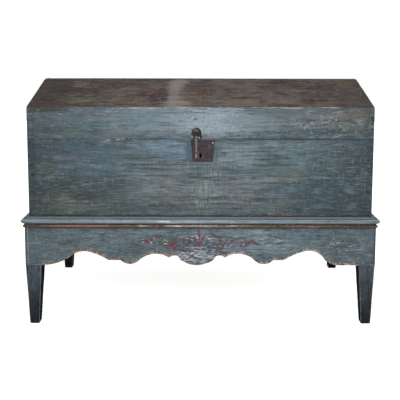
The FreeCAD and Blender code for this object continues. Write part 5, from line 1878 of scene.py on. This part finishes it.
@dataclass
class Ironwork:
    """Hinges, nails, lock plate, guard, hasp and bolt, with the forged boss over the hasp's hinge."""

    board_face: float = side_of("hasp_hinge_plate", 1, True)
    plate: float = 0.003
    middle: float = -0.015
    boss_height: float = 0.687
    boss_radius: float = 0.0155
    boss_rise: float = 0.0048
    lowest: float = 0.6758
    swing: float = math.radians(165.0)
    bar_face: float = 0.0015
    bar_half_width: float = 0.00475
    clearance: float = 0.0004

    def raised_bar(self, height: np.ndarray) -> np.ndarray:
        """Depth of the hasp's outer face at given heights when it is swung right up.

        The face keeps its distance from the pin. So, from the pin's depth, it lies that distance less
        the height over the pin times the swing's sine, all divided by minus the swing's cosine.

        Args:
            height: heights over the pin's own.

        Returns:
            The depths, with a clearance behind them.
        """
        pin = [(side_of("hasp_pin", axis, False) + side_of("hasp_pin", axis, True)) / 2.0 for axis in (1, 2)]
        reach = self.bar_face + self.clearance - (height - pin[1]) * math.sin(self.swing)
        return pin[0] - reach / math.cos(self.swing)

    def boss(self, finish: bpy.types.Material) -> None:
        """Makes the boss: rings that rise from the plate to an uneven dome with a sunk eye.

        Each ring's radius is its share of an outline that waves with the angle, and its lower part
        is cut off level, clear of the hinge's knuckle. The rise over the plate follows the rings'
        given heights and five shallow petals; the first ring stands on the board. A trough down the
        middle leaves room for the hasp when it is swung up.

        Args:
            finish: the iron.
        """
        turn = np.linspace(0.0, 2.0 * math.pi, 181)[:-1]
        outline = self.boss_radius * (1.0 + 0.05 * np.sin(5.0 * turn + 1.0) + 0.04 * np.sin(2.0 * turn + 0.4)
                                      + 0.025 * np.sin(9.0 * turn))
        steps, knots, even = np.linspace(0.0, 8.0, 49), np.arange(9.0), np.ones(7) / 7.0
        share = np.interp(steps, knots, [0.98, 1.0, 0.93, 0.8, 0.62, 0.45, 0.3, 0.18, 0.07])[:, None]
        rise = np.interp(steps, knots, [-1.0, 0.3, 0.66, 0.9, 1.0, 0.86, 0.68, 0.72, 0.8])
        rise = np.convolve(np.pad(rise, 3, mode="edge"), even, mode="valid")[:, None]
        petals = 1.0 + 0.12 * np.sin(5.0 * turn + 3.0 * share)
        x = self.middle + outline * share * np.cos(turn)
        z = self.boss_height + outline * share * np.sin(turn)
        z = np.maximum(z, self.lowest + 0.0002 * (1.0 - share))
        rise = np.clip(rise * petals, -self.plate / self.boss_rise, 1.25)
        y = self.board_face - self.plate - self.boss_rise * rise
        aside = np.maximum(np.abs(x - self.middle) - self.bar_half_width - self.clearance, 0.0)
        y = np.maximum(y, self.raised_bar(z) - 2.0 * aside)
        skin = Skin()
        skin.tube(np.stack([x, y, z], -1), arris=0.55 * (share < 0.5))
        skin.make("hasp_boss", finish, "lid", "iron", (), 60.0)

    def build(self) -> None:
        """Makes the boss and dresses every iron."""
        plate = WroughtIron(
            "rusted_lock_plate", body=(56, 50, 57), dark=(30, 26, 31), rust=(68, 53, 58), worn=(94, 86, 92),
            rust_share=0.35, worn_share=0.35,
            spots=each(Patch,
                # painted shadow that the hasp casts on the plate
                ((-0.03, 0.65), (0.006, 0.011), (22, 22, 24), 0.95),
                ((0.008, 0.651), (0.013, 0.0035), (46, 52, 48), 0.8),
                ((0.03, 0.638), (0.004, 0.014), (88, 66, 72), 0.6),
                ((0.034, 0.598), (0.008, 0.012), (48, 44, 48), 0.8),
                ((0.047, 0.622), (0.003, 0.04), (44, 44, 52), 0.8),
                ((0.008, 0.585), (0.04, 0.0018), (44, 38, 44), 0.8),
                ((0.01, 0.6405), (0.024, 0.0016), (34, 32, 36), 0.8)),
        ).make()
        guard = WroughtIron(
            "rubbed_guard", body=(80, 62, 64), dark=(50, 38, 42), rust=(86, 64, 64), worn=(132, 114, 114),
            rust_share=0.5, worn_share=0.35,
            # painted highlight at the foot of the guard
            spots=(Patch((0.006, 0.603), (0.0022, 0.008), (146, 116, 116), 0.8),),
        ).make()
        # light grey rubbed iron, partly a painted highlight
        hasp = WroughtIron(
            "bright_hasp", body=(108, 104, 106), dark=(72, 66, 68), rust=(98, 80, 78), worn=(156, 150, 150),
            rust_share=0.2, worn_share=0.5,
            spots=each(Patch,
                # these two spots are painted shade down both sides of the bar
                ((-0.0105, 0.63), (0.0013, 0.05), (62, 54, 58), 0.9),
                ((-0.0195, 0.63), (0.001, 0.05), (62, 54, 58), 0.8),
                ((-0.0155, 0.604), (0.003, 0.006), (142, 134, 134), 0.7),
                ((-0.0155, 0.616), (0.006, 0.008), (76, 66, 70), 0.9)),
        ).make()
        head = WroughtIron(
            "dark_hasp_plate", body=(40, 36, 37), dark=(18, 17, 18), rust=(66, 56, 54), worn=(134, 126, 122),
            rust_share=0.4, worn_share=0.4,
            spots=each(Patch,
                ((-0.0305, 0.672), (0.005, 0.006), (122, 132, 138), 0.95),
                ((-0.0165, 0.6945), (0.0085, 0.0048), (112, 104, 101), 0.75),
                ((-0.0245, 0.6965), (0.005, 0.0016), (30, 27, 28), 0.85),
                ((-0.009, 0.6975), (0.006, 0.0018), (32, 29, 30), 0.8),
                ((-0.015, 0.6905), (0.006, 0.0014), (58, 52, 54), 0.7),
                ((-0.015, 0.684), (0.013, 0.0038), (24, 22, 22), 0.9),
                ((-0.003, 0.69), (0.003, 0.007), (22, 20, 20), 0.9),
                # painted glint
                ((-0.0045, 0.669), (0.0024, 0.0022), (196, 190, 196), 0.9)),
        ).make()
        nail = WroughtIron("nail_iron", body=(66, 58, 62), worn=(120, 110, 112), worn_share=0.4).make()
        plate_nail = WroughtIron(
            "rubbed_plate_nails", body=(72, 64, 68), worn=(118, 110, 112), worn_share=0.4,
            # painted glint on a nail head
            spots=(Patch((0.0425, 0.649), (0.003, 0.0034), (206, 202, 206), 0.95),),
        ).make()
        strap = WroughtIron("hinge_iron", body=(60, 56, 58), rust=(80, 62, 54), rust_share=0.15).make()
        self.boss(head)
        dress(plate_nail, "lock_plate_nails")
        dress(plate, "lock_plate", "lock_box")
        dress(guard, "keyhole_guard")
        dress(hasp, "hasp", "lock_bolt")
        dress(head, "hasp_hinge_plate", "hasp_pin", "hasp_plate_nails")
        dress(nail, "lock_box_nails", "lid_nails", "lid_strap_nails", "hinge_leaf_nails", "bottom_nails")
        dress(strap, "hinge_leaf_left", "hinge_leaf_right", "lid_strap_left", "lid_strap_right", "hinge_pins")


@dataclass
class Studio:
    """A pale floor, soft lights and the camera."""

    focal_pixels: float = 623.7
    frame_pixels: float = 400.0
    centre_pixels: Pair = (201.9, 114.8)
    sensor: float = 36.0
    eye: tuple[float, float, float] = (0.0006, -2.42775, 0.972)
    pitch: float = math.radians(6.0)
    yaw: float = math.radians(0.1)
    roll: float = math.radians(0.13)
    floor_half: float = 6.0

    def camera(self) -> None:
        """Sets the camera at the eye, looking slightly down, with its frame shifted."""
        flat = math.cos(self.pitch)
        ahead = Vector((math.sin(self.yaw) * flat, math.cos(self.yaw) * flat, -math.sin(self.pitch)))
        level = Vector((math.cos(self.yaw), -math.sin(self.yaw), 0.0))
        up = level.cross(ahead)
        right = level * math.cos(self.roll) + up * math.sin(self.roll)
        up = right.cross(ahead)
        data = bpy.data.cameras.new("camera")
        data.sensor_fit = "HORIZONTAL"
        data.sensor_width = self.sensor
        data.lens = self.focal_pixels * self.sensor / self.frame_pixels
        middle = self.frame_pixels / 2.0
        data.shift_x = (middle - self.centre_pixels[0]) / self.frame_pixels
        data.shift_y = (self.centre_pixels[1] - middle) / self.frame_pixels
        data.clip_end = 60.0
        camera = bpy.data.objects.new("camera", data)
        turn = Matrix((right, up, -ahead)).transposed().to_4x4()
        camera.matrix_world = Matrix.Translation(Vector(self.eye)) @ turn
        bpy.context.scene.collection.objects.link(camera)
        bpy.context.scene.camera = camera

    @staticmethod
    def lamp(name: str, place: Sequence[float], aim: Sequence[float], size: Pair, power: float) -> None:
        """Adds one soft rectangular lamp.

        Args:
            name: the lamp's name.
            place: where it hangs.
            aim: the point that it faces.
            size: its width and height.
            power: watts.
        """
        data = bpy.data.lights.new(name, "AREA")
        data.shape = "RECTANGLE"
        data.size, data.size_y = size
        data.energy = power
        lamp = bpy.data.objects.new(name, data)
        lamp.location = place
        lamp.rotation_euler = (Vector(aim) - Vector(place)).to_track_quat("-Z", "Y").to_euler()
        bpy.context.scene.collection.objects.link(lamp)

    @staticmethod
    def world(level: float) -> None:
        """An even pale surround that looks white to the camera and in reflections.

        Args:
            level: how strongly it lights the coffer.
        """
        world = bpy.data.worlds.new("surround")
        bpy.context.scene.world = world
        graph = Graph(world)
        plain = graph.add("Background", {"Color": WHITE, "Strength": level}).outputs[0]
        seen = graph.add("Background", {"Color": WHITE, "Strength": 1.0}).outputs[0]
        mix = graph.add("MixShader", {0: graph.looked_at(), 1: plain, 2: seen}).outputs[0]
        graph.add("OutputWorld", {"Surface": mix})

    def floor(self) -> None:
        """A wide pale floor that looks white but keeps the coffer's soft shadow."""
        reach = self.floor_half
        corners = [(-reach, -reach, 0.0), (reach, -reach, 0.0), (reach, reach, 0.0), (-reach, reach, 0.0)]
        mesh = bpy.data.meshes.new("floor")
        mesh.from_pydata(corners, [], [(0, 1, 2, 3)])
        material = bpy.data.materials.new("pale_floor")
        graph = Graph(material)
        matt = graph.add("BsdfDiffuse", {"Color": (0.8, 0.8, 0.8, 1.0)}).outputs[0]
        place = graph.add("TexCoord", {}).outputs["Object"]
        away = graph.add("VectorMath", {0: place}, operation="LENGTH").outputs["Value"]
        level = graph.times(graph.looked_at(), graph.ease(away, 0.5, 1.6, 1.0, 0.8))
        glow = graph.add("Emission", {"Color": WHITE, "Strength": level}).outputs[0]
        both = graph.add("AddShader", {0: matt, 1: glow}).outputs[0]
        graph.add("OutputMaterial", {"Surface": both})
        mesh.materials.append(material)
        floor = bpy.data.objects.new("floor", mesh)
        bpy.context.scene.collection.objects.link(floor)

    def build(self) -> None:
        """Sets up the whole studio."""
        self.camera()
        self.world(0.48)
        self.lamp("front_softbox", (-0.5, -3.4, 2.6), (0.0, 0.0, 0.5), (2.4, 1.6), 92.0)
        self.lamp("right_softbox", (2.6, -1.6, 1.9), (0.0, 0.0, 0.5), (1.6, 1.6), 20.0)
        self.floor()
        bpy.context.scene.view_settings.view_transform = "Standard"


def main() -> None:
    """Builds the coffer's sub-assemblies in order."""
    logging.basicConfig(level=logging.INFO, format="%(name)s %(message)s")
    for part in (Stand(), Rim(), Case(), Lid(), Ironwork(), Studio()):
        part.build()
        LOG.info("%s is done", type(part).__name__)


if __name__ == "__main__":
    main()
